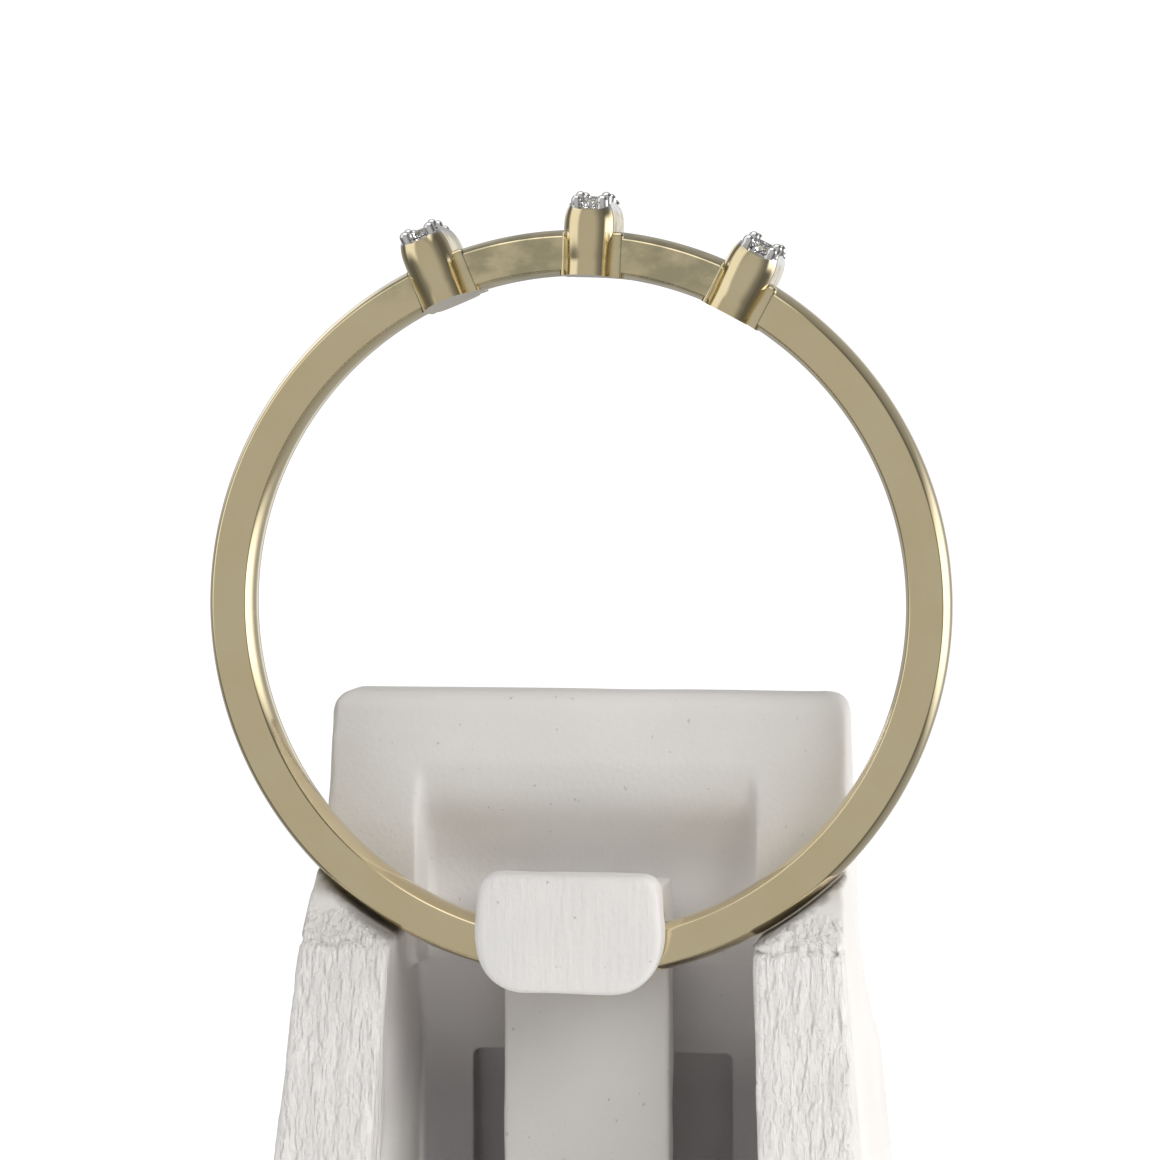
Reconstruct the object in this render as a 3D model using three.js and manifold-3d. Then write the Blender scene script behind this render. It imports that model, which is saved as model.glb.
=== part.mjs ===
// A gold ring with three raised stations of small round diamonds, clipped upright on a plain white stand.
// Millimetres, +Z up. The origin is the middle of the stand's foot and the ring's axis lies along Y.
// The front is -Y. Angles round the ring are in degrees from the top, clockwise as seen from the front.

import * as THREE from "three";
import { ConvexGeometry } from "three/addons/geometries/ConvexGeometry.js";
import { mergeVertices } from "three/addons/utils/BufferGeometryUtils.js";
import Module from "manifold-3d";

// Band: flat sides, a crowned outside and a slightly rounded inside
const FINGER_DIAMETER = 17.3;
const BAND_WIDTH = 1.6;
const BAND_SIDE = 0.88;
const BAND_CROWN = 0.2;
const BAND_COMFORT = 0.13;
const RING_ROLL = 2.6;

// Stations: raised blocks with round ends that cross the band, each on a collar
const STATION_NAMES = ["left", "centre", "right"];
const STATION_PITCH = 25.2;
const STATION_WIDTH = 1.3;
const STATION_LENGTH = 3.2;
const STATION_RISE = 1.95;
const STATION_DOME = 0.3;
const COLLAR_SPREAD = 0.17;
const COLLAR_OVERHANG = 0.12;
const COLLAR_BELOW_BAND = 0.06;

// A station's sections from the finger side up, as shares of its rise, width and length
const STATION_SECTIONS = [
  { rise: -0.2, width: 0.97, length: 0.95 },
  { rise: 0.17, width: 0.97, length: 0.95 },
  { rise: 0.19, width: 0.94, length: 0.94 },
  { rise: 0.38, width: 0.985, length: 0.985 },
  { rise: 0.6, width: 1.0, length: 1.0 },
  { rise: 0.76, width: 0.985, length: 0.985 },
  { rise: 0.88, width: 0.91, length: 0.95 },
  { rise: 0.95, width: 0.82, length: 0.915 },
  { rise: 1.0, width: 0.76, length: 0.89 },
];

// Diamonds: round brilliants in a row on each station, held by pairs of round-topped claws
const STONES_PER_STATION = 3;
const STONE_DIAMETER = 0.78;
const STONE_PITCH = 0.86;
const STONE_SINK = 0.01;
const STONE_CLEARANCE = 0.03;
const CLAW_DIAMETER = 0.3;
const CLAW_ASIDE = 0.34;
const CLAW_RISE = 0.28;

// A brilliant's proportions: shares of its diameter, and of its radius for the two facet rings
const TABLE_SHARE = 0.57;
const CROWN_SHARE = 0.16;
const GIRDLE_SHARE = 0.04;
const PAVILION_SHARE = 0.43;
const STAR_RING_SHARE = 0.8;
const LOWER_RING_SHARE = 0.26;
const STONE_FACETS = 8;

// Stand: heights are above its foot, depths are along Y with the front negative
const SHANK_HEIGHT = 13.26;
const STAND_HEIGHT = 20.7;
const CREASE_HEIGHT = 14.3;
const LEDGE_HEIGHT = 17.15;
const FLARE_TOP = 14.2;
const FLARE_BOTTOM = 10.8;
const FOOT_WIDTH = 16.8;
const CREASE_WIDTH = 14.3;
const TOP_WIDTH = 13.8;
const TOP_CORNER = 0.55;
const TOP_EDGE = 0.5;
const FOOT_FRONT = -4.4;
const CREASE_DEPTH = -1.65;
const PANEL_FRONT = 1.3;
const PANEL_LEAN = 0.25;
const PANEL_THICKNESS = 2.5;
const FLARE_DEPTH = 7.4;
const FOOT_BACK = 9.4;
const CRADLE_CLEARANCE = 0.08;

// Recess in the panel and the hollow between the arms
const RECESS_WIDTH = 9.1;
const RECESS_TOP = 19.0;
const RECESS_DEPTH = 1.75;
const RECESS_RAMP = 3.8;
const RECESS_BEND = 0.5;
const HOLLOW_TOP_WIDTH = 9.6;
const HOLLOW_FOOT_WIDTH = 11.0;
const TAB_HEIGHT = 13.3;
const TAB_ROUND = 0.5;
const FLOOR_THICKNESS = 2.4;
const HOLLOW_BACK = 4.6;
const SLOT_WIDTH = 7.2;
const SLOT_TOP = 10.6;
const SLOT_DEPTH = 1.0;

// Spring tongue: a stem behind the shank, a shelf through the ring and a flap in front of it
const STEM_WIDTH = 4.5;
const STEM_THICKNESS = 0.95;
const STEM_TO_SHANK = 0.75;
const SHELF_THICKNESS = 1.2;
const SHELF_ROUND = 0.8;
const TONGUE_CLEARANCE = 0.1;
const FLAP_TOP_WIDTH = 4.55;
const FLAP_WIDTH = 4.94;
const FLAP_BOTTOM_WIDTH = 2.2;
const FLAP_RISE = 0.42;
const FLAP_HEIGHT = 3.12;
const FLAP_WIDEST = 1.5;
const FLAP_THICKNESS = 1.0;
const FLAP_CORNER = 0.4;
const FLAP_BOTTOM_PULL = 0.55;
const POCKET_DEPTH = 1.4;

// How finely round forms are divided
const BAND_STEPS = 80;
const PROFILE_STEPS = 4;
const ROUND_STEPS = 20;
const CLAW_STEPS = 8;
const CLAW_TOP_STEPS = 3;

// Cutters reach past what they cut by this much
const CUT_PAST = 2;

const wasm = await Module();
wasm.setup();

const INNER_RADIUS = FINGER_DIAMETER / 2;
const SIDE_INNER_RADIUS = INNER_RADIUS + BAND_COMFORT;
const SIDE_OUTER_RADIUS = SIDE_INNER_RADIUS + BAND_SIDE;
const OUTER_RADIUS = SIDE_OUTER_RADIUS + BAND_CROWN;
const RING_HEIGHT = SHANK_HEIGHT + OUTER_RADIUS;
const STATION_TOP_RADIUS = INNER_RADIUS + STATION_RISE;
const STONE_RADIUS = STONE_DIAMETER / 2;
const PANEL_BACK = PANEL_FRONT + PANEL_THICKNESS;

// Axes for outlines that are drawn flat: (y, z) pushed along X, and (x, z) pushed towards the front
const SIDE_VIEW = new THREE.Matrix4().makeBasis(
  new THREE.Vector3(0, 1, 0),
  new THREE.Vector3(0, 0, 1),
  new THREE.Vector3(1, 0, 0),
);
const FRONT_VIEW = new THREE.Matrix4().makeBasis(
  new THREE.Vector3(1, 0, 0),
  new THREE.Vector3(0, 0, 1),
  new THREE.Vector3(0, -1, 0),
);

// A closed geometry as a solid that can be joined and cut
function solid(geometry) {
  const bare = geometry.clone();
  bare.deleteAttribute("normal");
  bare.deleteAttribute("uv");
  const merged = mergeVertices(bare, 1e-5);
  return new wasm.Manifold(
    new wasm.Mesh({
      numProp: 3,
      vertProperties: merged.attributes.position.array,
      triVerts: new Uint32Array(merged.index.array),
    }),
  );
}

// A finished solid as a named mesh with its own material
function part(name, body, finish) {
  const { vertProperties, triVerts } = body.getMesh();
  const geometry = new THREE.BufferGeometry();
  geometry.setAttribute("position", new THREE.BufferAttribute(vertProperties, 3));
  geometry.setIndex(new THREE.BufferAttribute(triVerts, 1));
  const mesh = new THREE.Mesh(geometry, new THREE.MeshStandardMaterial(finish));
  mesh.name = name;
  return mesh;
}

// An outline in the side view, as wide as given and centred on X = 0
function acrossX(shape, width) {
  const geometry = new THREE.ExtrudeGeometry(shape, {
    depth: width,
    bevelEnabled: false,
    curveSegments: ROUND_STEPS,
  });
  return solid(geometry.translate(0, 0, -width / 2).applyMatrix4(SIDE_VIEW));
}

// An outline in the front view, filling the depths between front and back
function acrossY(shape, front, back) {
  const geometry = new THREE.ExtrudeGeometry(shape, {
    depth: back - front,
    bevelEnabled: false,
    curveSegments: ROUND_STEPS,
  });
  return solid(geometry.translate(0, 0, -back).applyMatrix4(FRONT_VIEW));
}

// A box between two corners
function block(low, high) {
  const size = high.clone().sub(low);
  const middle = low.clone().add(high).multiplyScalar(0.5);
  const geometry = new THREE.BoxGeometry(size.x, size.y, size.z);
  return solid(geometry.translate(middle.x, middle.y, middle.z));
}

// A closed skin over sections that have the same number of points, from the lowest up
function loft(sections) {
  const count = sections[0].length;
  const index = [];
  for (let level = 0; level + 1 < sections.length; level += 1) {
    for (let i = 0; i < count; i += 1) {
      const a = level * count + i;
      const b = level * count + ((i + 1) % count);
      index.push(a, b, b + count, a, b + count, a + count);
    }
  }
  const last = (sections.length - 1) * count;
  for (let i = 1; i + 1 < count; i += 1) {
    index.push(0, i + 1, i);
    index.push(last, last + i, last + i + 1);
  }
  const geometry = new THREE.BufferGeometry().setFromPoints(sections.flat());
  geometry.setIndex(index);
  return solid(geometry);
}

// Points of an arc from one end of a chord to the other that swells by the given height
function archPoints(radiusAtEnds, swell, halfWidth, steps) {
  const curvature = (halfWidth ** 2 + swell ** 2) / (2 * Math.abs(swell));
  const reach = Math.asin(halfWidth / curvature);
  return Array.from({ length: steps + 1 }, (_, i) => {
    const angle = reach * ((2 * i) / steps - 1);
    const rise = curvature * Math.cos(angle) - (curvature - Math.abs(swell));
    return new THREE.Vector2(radiusAtEnds + Math.sign(swell) * rise, curvature * Math.sin(angle));
  });
}

// The band as a turned ring about the Y axis
function band() {
  const outside = archPoints(SIDE_OUTER_RADIUS, BAND_CROWN, BAND_WIDTH / 2, PROFILE_STEPS);
  const inside = archPoints(SIDE_INNER_RADIUS, -BAND_COMFORT, BAND_WIDTH / 2, PROFILE_STEPS);
  const profile = [...outside, ...inside.reverse(), outside[0].clone()];
  return solid(new THREE.LatheGeometry(profile, BAND_STEPS));
}

// A level outline with straight sides along Y and half-round ends
function stadium(width, length, height) {
  const radius = width / 2;
  const straight = length / 2 - radius;
  const half = ROUND_STEPS / 2;
  return Array.from({ length: ROUND_STEPS + 2 }, (_, i) => {
    const end = i <= half ? 1 : -1;
    const angle = ((i <= half ? i : i - 1) * Math.PI) / half;
    return new THREE.Vector3(radius * Math.cos(angle), radius * Math.sin(angle) + end * straight, height);
  });
}

// The radius of the station's gentle dome along the finger, and the middle it turns about
const DOME_RADIUS = ((STATION_LENGTH / 2) ** 2 + STATION_DOME ** 2) / (2 * STATION_DOME);
const DOME_CENTRE = STATION_TOP_RADIUS - DOME_RADIUS;

// One station standing at the top of the band, before its seats are cut
function stationBlank() {
  const body = loft(
    STATION_SECTIONS.map(({ rise, width, length }) =>
      stadium(STATION_WIDTH * width, STATION_LENGTH * length, INNER_RADIUS + STATION_RISE * rise),
    ),
  );
  const dome = new THREE.Shape();
  const halfLength = STATION_LENGTH / 2;
  const reach = Math.asin(halfLength / DOME_RADIUS);
  dome.moveTo(-halfLength, 0);
  dome.lineTo(halfLength, 0);
  dome.absarc(0, DOME_CENTRE, DOME_RADIUS, Math.PI / 2 - reach, Math.PI / 2 + reach, false);
  const collarSide = STATION_WIDTH / 2 + COLLAR_SPREAD;
  const collarEnd = BAND_WIDTH / 2 + COLLAR_OVERHANG;
  const collar = block(
    new THREE.Vector3(-collarSide, -collarEnd, INNER_RADIUS * Math.cos(Math.asin(collarSide / INNER_RADIUS))),
    new THREE.Vector3(collarSide, collarEnd, OUTER_RADIUS - COLLAR_BELOW_BAND),
  );
  return body.intersect(acrossX(dome, STATION_WIDTH * 2)).add(collar);
}

// The frame of a point on a station's dome: aside across the row, along it as a length on the dome
function domeFrame(aside, along) {
  const lean = along / DOME_RADIUS;
  return new THREE.Matrix4()
    .makeTranslation(0, 0, DOME_CENTRE)
    .multiply(new THREE.Matrix4().makeRotationX(-lean))
    .multiply(new THREE.Matrix4().makeTranslation(aside, 0, DOME_RADIUS));
}

// Where each stone of a row sits along the dome
const STONE_PLACES = Array.from(
  { length: STONES_PER_STATION },
  (_, i) => STONE_PITCH * (i - (STONES_PER_STATION - 1) / 2),
);

// Where the claws stand: a pair between stones and a pair past each end of the row
const CLAW_PLACES = Array.from(
  { length: STONES_PER_STATION + 1 },
  (_, i) => STONE_PITCH * (i - STONES_PER_STATION / 2),
).map((along, i) => {
  const atEnd = i === 0 || i === STONES_PER_STATION;
  return atEnd ? along - Math.sign(along) * CLAW_DIAMETER / 2 : along;
});

// A brilliant with its girdle at height 0
function brilliant() {
  const table = STONE_RADIUS * TABLE_SHARE;
  const crown = STONE_DIAMETER * CROWN_SHARE;
  const halfGirdle = (STONE_DIAMETER * GIRDLE_SHARE) / 2;
  const pavilion = STONE_DIAMETER * PAVILION_SHARE;
  const facet = (2 * Math.PI) / STONE_FACETS;
  const onFacet = Math.cos(facet / 2);
  const star = STONE_RADIUS * STAR_RING_SHARE;
  const starHeight = halfGirdle + crown * (1 - (star * onFacet - table) / (STONE_RADIUS - table));
  const lower = STONE_RADIUS * LOWER_RING_SHARE;
  const lowerHeight = -halfGirdle - pavilion * (1 - (lower * onFacet) / STONE_RADIUS);
  const rings = [
    { radius: table, height: halfGirdle + crown, count: STONE_FACETS, turn: 0 },
    { radius: star, height: starHeight, count: STONE_FACETS, turn: facet / 2 },
    { radius: STONE_RADIUS, height: halfGirdle, count: 2 * STONE_FACETS, turn: 0 },
    { radius: STONE_RADIUS, height: -halfGirdle, count: 2 * STONE_FACETS, turn: 0 },
    { radius: lower, height: lowerHeight, count: STONE_FACETS, turn: facet / 2 },
  ];
  const points = rings.flatMap(({ radius, height, count, turn }) =>
    Array.from({ length: count }, (_, i) => {
      const angle = turn + (2 * Math.PI * i) / count;
      return new THREE.Vector3(radius * Math.cos(angle), radius * Math.sin(angle), height);
    }),
  );
  points.push(new THREE.Vector3(0, 0, -halfGirdle - pavilion));
  return new ConvexGeometry(points);
}

// The room a stone takes out of the metal, with its clearance all round
function stoneSeat() {
  const halfGirdle = (STONE_DIAMETER * GIRDLE_SHARE) / 2;
  const crownTop = halfGirdle + STONE_DIAMETER * CROWN_SHARE;
  const deep = halfGirdle + STONE_DIAMETER * PAVILION_SHARE;
  const profile = [
    new THREE.Vector2(0, -deep - 2 * STONE_CLEARANCE),
    new THREE.Vector2(STONE_RADIUS + STONE_CLEARANCE, -halfGirdle - STONE_CLEARANCE),
    new THREE.Vector2(STONE_RADIUS + STONE_CLEARANCE, halfGirdle + STONE_CLEARANCE),
    new THREE.Vector2(STONE_RADIUS * TABLE_SHARE + STONE_CLEARANCE, crownTop + STONE_CLEARANCE),
    new THREE.Vector2(0, crownTop + STONE_CLEARANCE),
  ];
  return solid(new THREE.LatheGeometry(profile, ROUND_STEPS).rotateX(Math.PI / 2));
}

// A claw that rises out of the metal beside the stones, with a round top
function claw() {
  const radius = CLAW_DIAMETER / 2;
  const top = Array.from({ length: CLAW_TOP_STEPS + 1 }, (_, i) => {
    const angle = (i * Math.PI) / (2 * CLAW_TOP_STEPS);
    return new THREE.Vector2(radius * Math.cos(angle), CLAW_RISE - radius + radius * Math.sin(angle));
  });
  const profile = [new THREE.Vector2(0, -radius), new THREE.Vector2(radius, -radius), ...top];
  return solid(new THREE.LatheGeometry(profile, CLAW_STEPS).rotateX(Math.PI / 2));
}

// A solid moved by a matrix
function placed(body, matrix) {
  return body.transform(matrix.elements);
}

// One finished station at the top of the band, with claws added and seats cut
function station() {
  let body = stationBlank();
  for (const along of CLAW_PLACES) {
    for (const side of [-1, 1]) {
      body = body.add(placed(claw(), domeFrame(side * CLAW_ASIDE, along)));
    }
  }
  for (const along of STONE_PLACES) {
    const seat = domeFrame(0, along);
    body = body.subtract(placed(stoneSeat(), seat.multiply(new THREE.Matrix4().makeTranslation(0, 0, -STONE_SINK))));
  }
  return body;
}

const stationAngles = STATION_NAMES.map((_, i) =>
  THREE.MathUtils.degToRad(RING_ROLL + STATION_PITCH * (i - (STATION_NAMES.length - 1) / 2)),
);

// The ring's metal, cast in one piece, about its own middle
function ringMetal() {
  const finger = new THREE.CylinderGeometry(INNER_RADIUS, INNER_RADIUS, STATION_LENGTH * 2, BAND_STEPS);
  const stations = stationAngles.map((angle) =>
    placed(station(), new THREE.Matrix4().makeRotationY(angle)).subtract(solid(finger)),
  );
  return stations.reduce((whole, one) => whole.add(one), band());
}

const GOLD = { color: 0xcdb884, roughness: 0.16, metalness: 1 };
const DIAMOND = { color: 0xf4f7fa, roughness: 0.02, metalness: 0 };
const WHITE_PAINT = { color: 0xdedad4, roughness: 0.62, metalness: 0 };
const WHITE_SPRING = { color: 0xd8d6d2, roughness: 0.55, metalness: 0 };

// The ring in its own group, lifted to where the stand holds it
function ring() {
  const group = new THREE.Group();
  group.position.z = RING_HEIGHT;
  group.add(part("ring_metal", ringMetal(), GOLD));
  const cut = solid(brilliant());
  STATION_NAMES.forEach((name, s) => {
    const stationGroup = new THREE.Group();
    stationGroup.rotation.y = stationAngles[s];
    group.add(stationGroup);
    STONE_PLACES.forEach((along, i) => {
      const stone = part(`stone_${name}_${i + 1}`, cut, DIAMOND);
      stone.applyMatrix4(domeFrame(0, along).multiply(new THREE.Matrix4().makeTranslation(0, 0, -STONE_SINK)));
      stationGroup.add(stone);
    });
  });
  return group;
}

// The stand's outline from the side: foot, sloped front, slanted ledge, leaning panel and flared back
function standSide() {
  const shape = new THREE.Shape();
  shape.moveTo(FOOT_FRONT, 0);
  shape.lineTo(FOOT_BACK, 0);
  shape.lineTo(FLARE_DEPTH, FLARE_BOTTOM);
  shape.quadraticCurveTo(PANEL_BACK, FLARE_BOTTOM + (FLARE_TOP - FLARE_BOTTOM) / 2, PANEL_BACK, FLARE_TOP);
  shape.lineTo(PANEL_BACK, STAND_HEIGHT - TOP_EDGE);
  shape.absarc(PANEL_BACK - TOP_EDGE, STAND_HEIGHT - TOP_EDGE, TOP_EDGE, 0, Math.PI / 2, false);
  shape.absarc(
    PANEL_FRONT + PANEL_LEAN + TOP_EDGE,
    STAND_HEIGHT - TOP_EDGE,
    TOP_EDGE,
    Math.PI / 2,
    Math.PI,
    false,
  );
  shape.lineTo(PANEL_FRONT, LEDGE_HEIGHT);
  shape.lineTo(CREASE_DEPTH, CREASE_HEIGHT);
  shape.closePath();
  return shape;
}

// The stand's outline from the front: a foot that narrows to the crease, then a panel with round corners
function standFront() {
  const shape = new THREE.Shape();
  const top = TOP_WIDTH / 2;
  shape.moveTo(-FOOT_WIDTH / 2, 0);
  shape.lineTo(FOOT_WIDTH / 2, 0);
  shape.lineTo(CREASE_WIDTH / 2, CREASE_HEIGHT);
  shape.lineTo(top, STAND_HEIGHT - TOP_CORNER);
  shape.absarc(top - TOP_CORNER, STAND_HEIGHT - TOP_CORNER, TOP_CORNER, 0, Math.PI / 2, false);
  shape.absarc(TOP_CORNER - top, STAND_HEIGHT - TOP_CORNER, TOP_CORNER, Math.PI / 2, Math.PI, false);
  shape.lineTo(-CREASE_WIDTH / 2, CREASE_HEIGHT);
  shape.closePath();
  return shape;
}

const RECESS_FLOOR = PANEL_FRONT + RECESS_DEPTH;
const STEM_FRONT = BAND_WIDTH / 2 + STEM_TO_SHANK;
const STEM_BACK = STEM_FRONT + STEM_THICKNESS;

// The recess: no depth at its top, then a soft ramp, then its full depth
function recessCut() {
  const shape = new THREE.Shape();
  const leanAtTop = (PANEL_LEAN * (RECESS_TOP - LEDGE_HEIGHT)) / (STAND_HEIGHT - LEDGE_HEIGHT);
  shape.moveTo(FOOT_FRONT - CUT_PAST, RECESS_TOP);
  shape.lineTo(FOOT_FRONT - CUT_PAST, TAB_HEIGHT - CUT_PAST);
  shape.lineTo(RECESS_FLOOR, TAB_HEIGHT - CUT_PAST);
  const rampTop = PANEL_FRONT + leanAtTop;
  const middle = RECESS_TOP - RECESS_RAMP * RECESS_BEND;
  shape.lineTo(RECESS_FLOOR, RECESS_TOP - RECESS_RAMP);
  shape.bezierCurveTo(RECESS_FLOOR, middle, rampTop, middle, rampTop, RECESS_TOP);
  shape.closePath();
  return acrossX(shape, RECESS_WIDTH);
}

// The hollow between the arms, in front of the panel and under its rims, which end in round tabs
function hollowCut() {
  const side = new THREE.Shape();
  const front = FOOT_FRONT - CUT_PAST;
  side.moveTo(front, FLOOR_THICKNESS);
  side.lineTo(HOLLOW_BACK, FLOOR_THICKNESS);
  side.lineTo(HOLLOW_BACK, FLARE_BOTTOM);
  side.lineTo(RECESS_FLOOR, TAB_HEIGHT);
  side.lineTo(PANEL_FRONT + TAB_ROUND, TAB_HEIGHT);
  side.absarc(PANEL_FRONT + TAB_ROUND, TAB_HEIGHT + TAB_ROUND, TAB_ROUND, -Math.PI / 2, -Math.PI, true);
  side.lineTo(PANEL_FRONT, STAND_HEIGHT + CUT_PAST);
  side.lineTo(front, STAND_HEIGHT + CUT_PAST);
  side.closePath();
  const outline = new THREE.Shape();
  outline.moveTo(-HOLLOW_FOOT_WIDTH / 2, 0);
  outline.lineTo(HOLLOW_FOOT_WIDTH / 2, 0);
  outline.lineTo(HOLLOW_TOP_WIDTH / 2, CREASE_HEIGHT);
  outline.lineTo(HOLLOW_TOP_WIDTH / 2, STAND_HEIGHT + CUT_PAST);
  outline.lineTo(-HOLLOW_TOP_WIDTH / 2, STAND_HEIGHT + CUT_PAST);
  outline.lineTo(-HOLLOW_TOP_WIDTH / 2, CREASE_HEIGHT);
  outline.closePath();
  return acrossX(side, FOOT_WIDTH).intersect(acrossY(outline, front - CUT_PAST, FOOT_BACK));
}

// The slot behind the stem, and the pocket in the floor that takes the stem's end
function stemCuts() {
  const slot = block(
    new THREE.Vector3(-SLOT_WIDTH / 2, 0, FLOOR_THICKNESS),
    new THREE.Vector3(SLOT_WIDTH / 2, HOLLOW_BACK + SLOT_DEPTH, SLOT_TOP),
  );
  const aside = STEM_WIDTH / 2 + TONGUE_CLEARANCE;
  const pocket = block(
    new THREE.Vector3(-aside, STEM_FRONT - TONGUE_CLEARANCE, FLOOR_THICKNESS - POCKET_DEPTH),
    new THREE.Vector3(aside, STEM_BACK + TONGUE_CLEARANCE, FLOOR_THICKNESS + CUT_PAST),
  );
  return slot.add(pocket);
}

// The round cradle that the shank lies in
function cradleCut() {
  const radius = OUTER_RADIUS + CRADLE_CLEARANCE;
  const length = PANEL_FRONT - FOOT_FRONT;
  const cradle = new THREE.CylinderGeometry(radius, radius, length, BAND_STEPS);
  return solid(cradle.translate(0, PANEL_FRONT - length / 2, RING_HEIGHT));
}

// The stand's body in one piece
function standBody() {
  return acrossX(standSide(), FOOT_WIDTH)
    .intersect(acrossY(standFront(), FOOT_FRONT, FOOT_BACK))
    .subtract(recessCut())
    .subtract(hollowCut())
    .subtract(stemCuts())
    .subtract(cradleCut());
}

// The flap's outline from the front: straight top, swelling sides and a flat bottom with round corners
function flapFront(top) {
  const shape = new THREE.Shape();
  const shoulder = FLAP_TOP_WIDTH / 2;
  const side = FLAP_WIDTH / 2;
  const foot = FLAP_BOTTOM_WIDTH / 2;
  const bottom = top - FLAP_HEIGHT;
  const pull = FLAP_BOTTOM_PULL;
  const shoulderSide = shoulder + (side - shoulder) / 2;
  shape.moveTo(-shoulder + FLAP_CORNER, top);
  shape.quadraticCurveTo(-shoulder, top, -shoulderSide, top - FLAP_CORNER);
  shape.lineTo(-side, top - FLAP_WIDEST);
  shape.bezierCurveTo(-side, bottom + pull, -side + pull, bottom, -foot, bottom);
  shape.lineTo(foot, bottom);
  shape.bezierCurveTo(side - pull, bottom, side, bottom + pull, side, top - FLAP_WIDEST);
  shape.lineTo(shoulderSide, top - FLAP_CORNER);
  shape.quadraticCurveTo(shoulder, top, shoulder - FLAP_CORNER, top);
  shape.closePath();
  return shape;
}

// The spring tongue in one piece, kept clear of the shank all round
function springTongue() {
  const reach = BAND_WIDTH / 2 + TONGUE_CLEARANCE;
  const shelfTop = RING_HEIGHT - INNER_RADIUS + TONGUE_CLEARANCE + SHELF_THICKNESS;
  const foot = FLOOR_THICKNESS - POCKET_DEPTH + TONGUE_CLEARANCE;
  const bend = new THREE.Shape();
  bend.moveTo(STEM_FRONT, foot);
  bend.lineTo(STEM_BACK, foot);
  bend.lineTo(STEM_BACK, shelfTop - SHELF_ROUND);
  bend.absarc(STEM_BACK - SHELF_ROUND, shelfTop - SHELF_ROUND, SHELF_ROUND, 0, Math.PI / 2, false);
  bend.lineTo(-reach - FLAP_THICKNESS / 2, shelfTop);
  bend.lineTo(-reach - FLAP_THICKNESS / 2, shelfTop - SHELF_THICKNESS - BAND_COMFORT);
  bend.lineTo(STEM_FRONT, shelfTop - SHELF_THICKNESS - BAND_COMFORT);
  bend.closePath();
  const hole = INNER_RADIUS - TONGUE_CLEARANCE;
  const outside = OUTER_RADIUS + TONGUE_CLEARANCE;
  const aroundShank = solid(
    new THREE.LatheGeometry(
      [
        new THREE.Vector2(outside, -reach),
        new THREE.Vector2(outside, reach),
        new THREE.Vector2(hole, reach),
        new THREE.Vector2(hole, -reach),
        new THREE.Vector2(outside, -reach),
      ],
      BAND_STEPS,
    ).translate(0, 0, RING_HEIGHT),
  );
  const flap = acrossY(flapFront(shelfTop + FLAP_RISE), -reach - FLAP_THICKNESS, -reach);
  return acrossX(bend, STEM_WIDTH).subtract(aroundShank).add(flap);
}

// Everything is drawn with the ring's axis over Y = 0, then the foot's middle is put at the origin
const assembly = new THREE.Group();
assembly.position.y = -(FOOT_FRONT + FOOT_BACK) / 2;
assembly.add(ring());
assembly.add(part("stand_body", standBody(), WHITE_PAINT));
assembly.add(part("spring_tongue", springTongue(), WHITE_SPRING));

const model = new THREE.Group();
model.add(assembly);

export default model;
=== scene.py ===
"""A slim gold ring with three diamond stations, held upright in a small white spring-clip stand.

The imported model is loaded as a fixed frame, and the ring's metal, the stand and its tongue are dressed
round it. Sizes are in millimetres until a finished mesh is scaled to metres.
"""

import logging
import math
from dataclasses import dataclass, field
from enum import Enum
from typing import Any, Iterable, Sequence, Union

import bmesh
import bpy
from mathutils import Matrix, Vector, noise


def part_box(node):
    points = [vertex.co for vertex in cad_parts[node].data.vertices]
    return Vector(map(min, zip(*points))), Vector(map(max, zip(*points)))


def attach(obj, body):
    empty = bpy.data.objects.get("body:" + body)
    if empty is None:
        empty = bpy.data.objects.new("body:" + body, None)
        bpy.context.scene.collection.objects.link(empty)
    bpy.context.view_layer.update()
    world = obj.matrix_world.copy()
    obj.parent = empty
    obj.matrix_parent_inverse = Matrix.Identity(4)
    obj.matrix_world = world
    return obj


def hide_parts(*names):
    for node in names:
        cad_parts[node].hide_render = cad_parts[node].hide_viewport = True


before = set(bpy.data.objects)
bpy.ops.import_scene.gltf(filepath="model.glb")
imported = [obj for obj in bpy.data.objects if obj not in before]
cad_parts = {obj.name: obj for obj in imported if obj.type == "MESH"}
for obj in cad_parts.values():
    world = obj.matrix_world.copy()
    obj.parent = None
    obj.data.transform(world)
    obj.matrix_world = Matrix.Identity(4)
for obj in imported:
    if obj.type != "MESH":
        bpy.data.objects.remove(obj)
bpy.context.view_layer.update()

log = logging.getLogger("ring_on_stand")

METRES_PER_MM = 0.001

# Corners nearer than this, in millimetres, are merged: in a piece made here, and in a copy of a CAD node
MERGE_MM = 1e-5
CAD_MERGE_MM = 1e-4

# Attributes: the claws' way out of the metal, and how open the paint's crack is at a point
OUTWARD = "outward"
CRACK = "crack"

Colour = tuple[float, float, float, float]
Number = Union[float, "Value"]

WHITE: Colour = (1.0, 1.0, 1.0, 1.0)


class Slot(Enum):
    """The record's material slots."""

    GOLD = "yellow_gold"
    DIAMOND = "diamond"
    STAND = "stand_paint"
    TONGUE = "tongue_paint"


class Side(Enum):
    """The two sides of a row of stones."""

    LEFT = -1
    RIGHT = 1


class Joining(Enum):
    """How a second solid changes the first."""

    ADD = "UNION"
    CUT = "DIFFERENCE"


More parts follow.
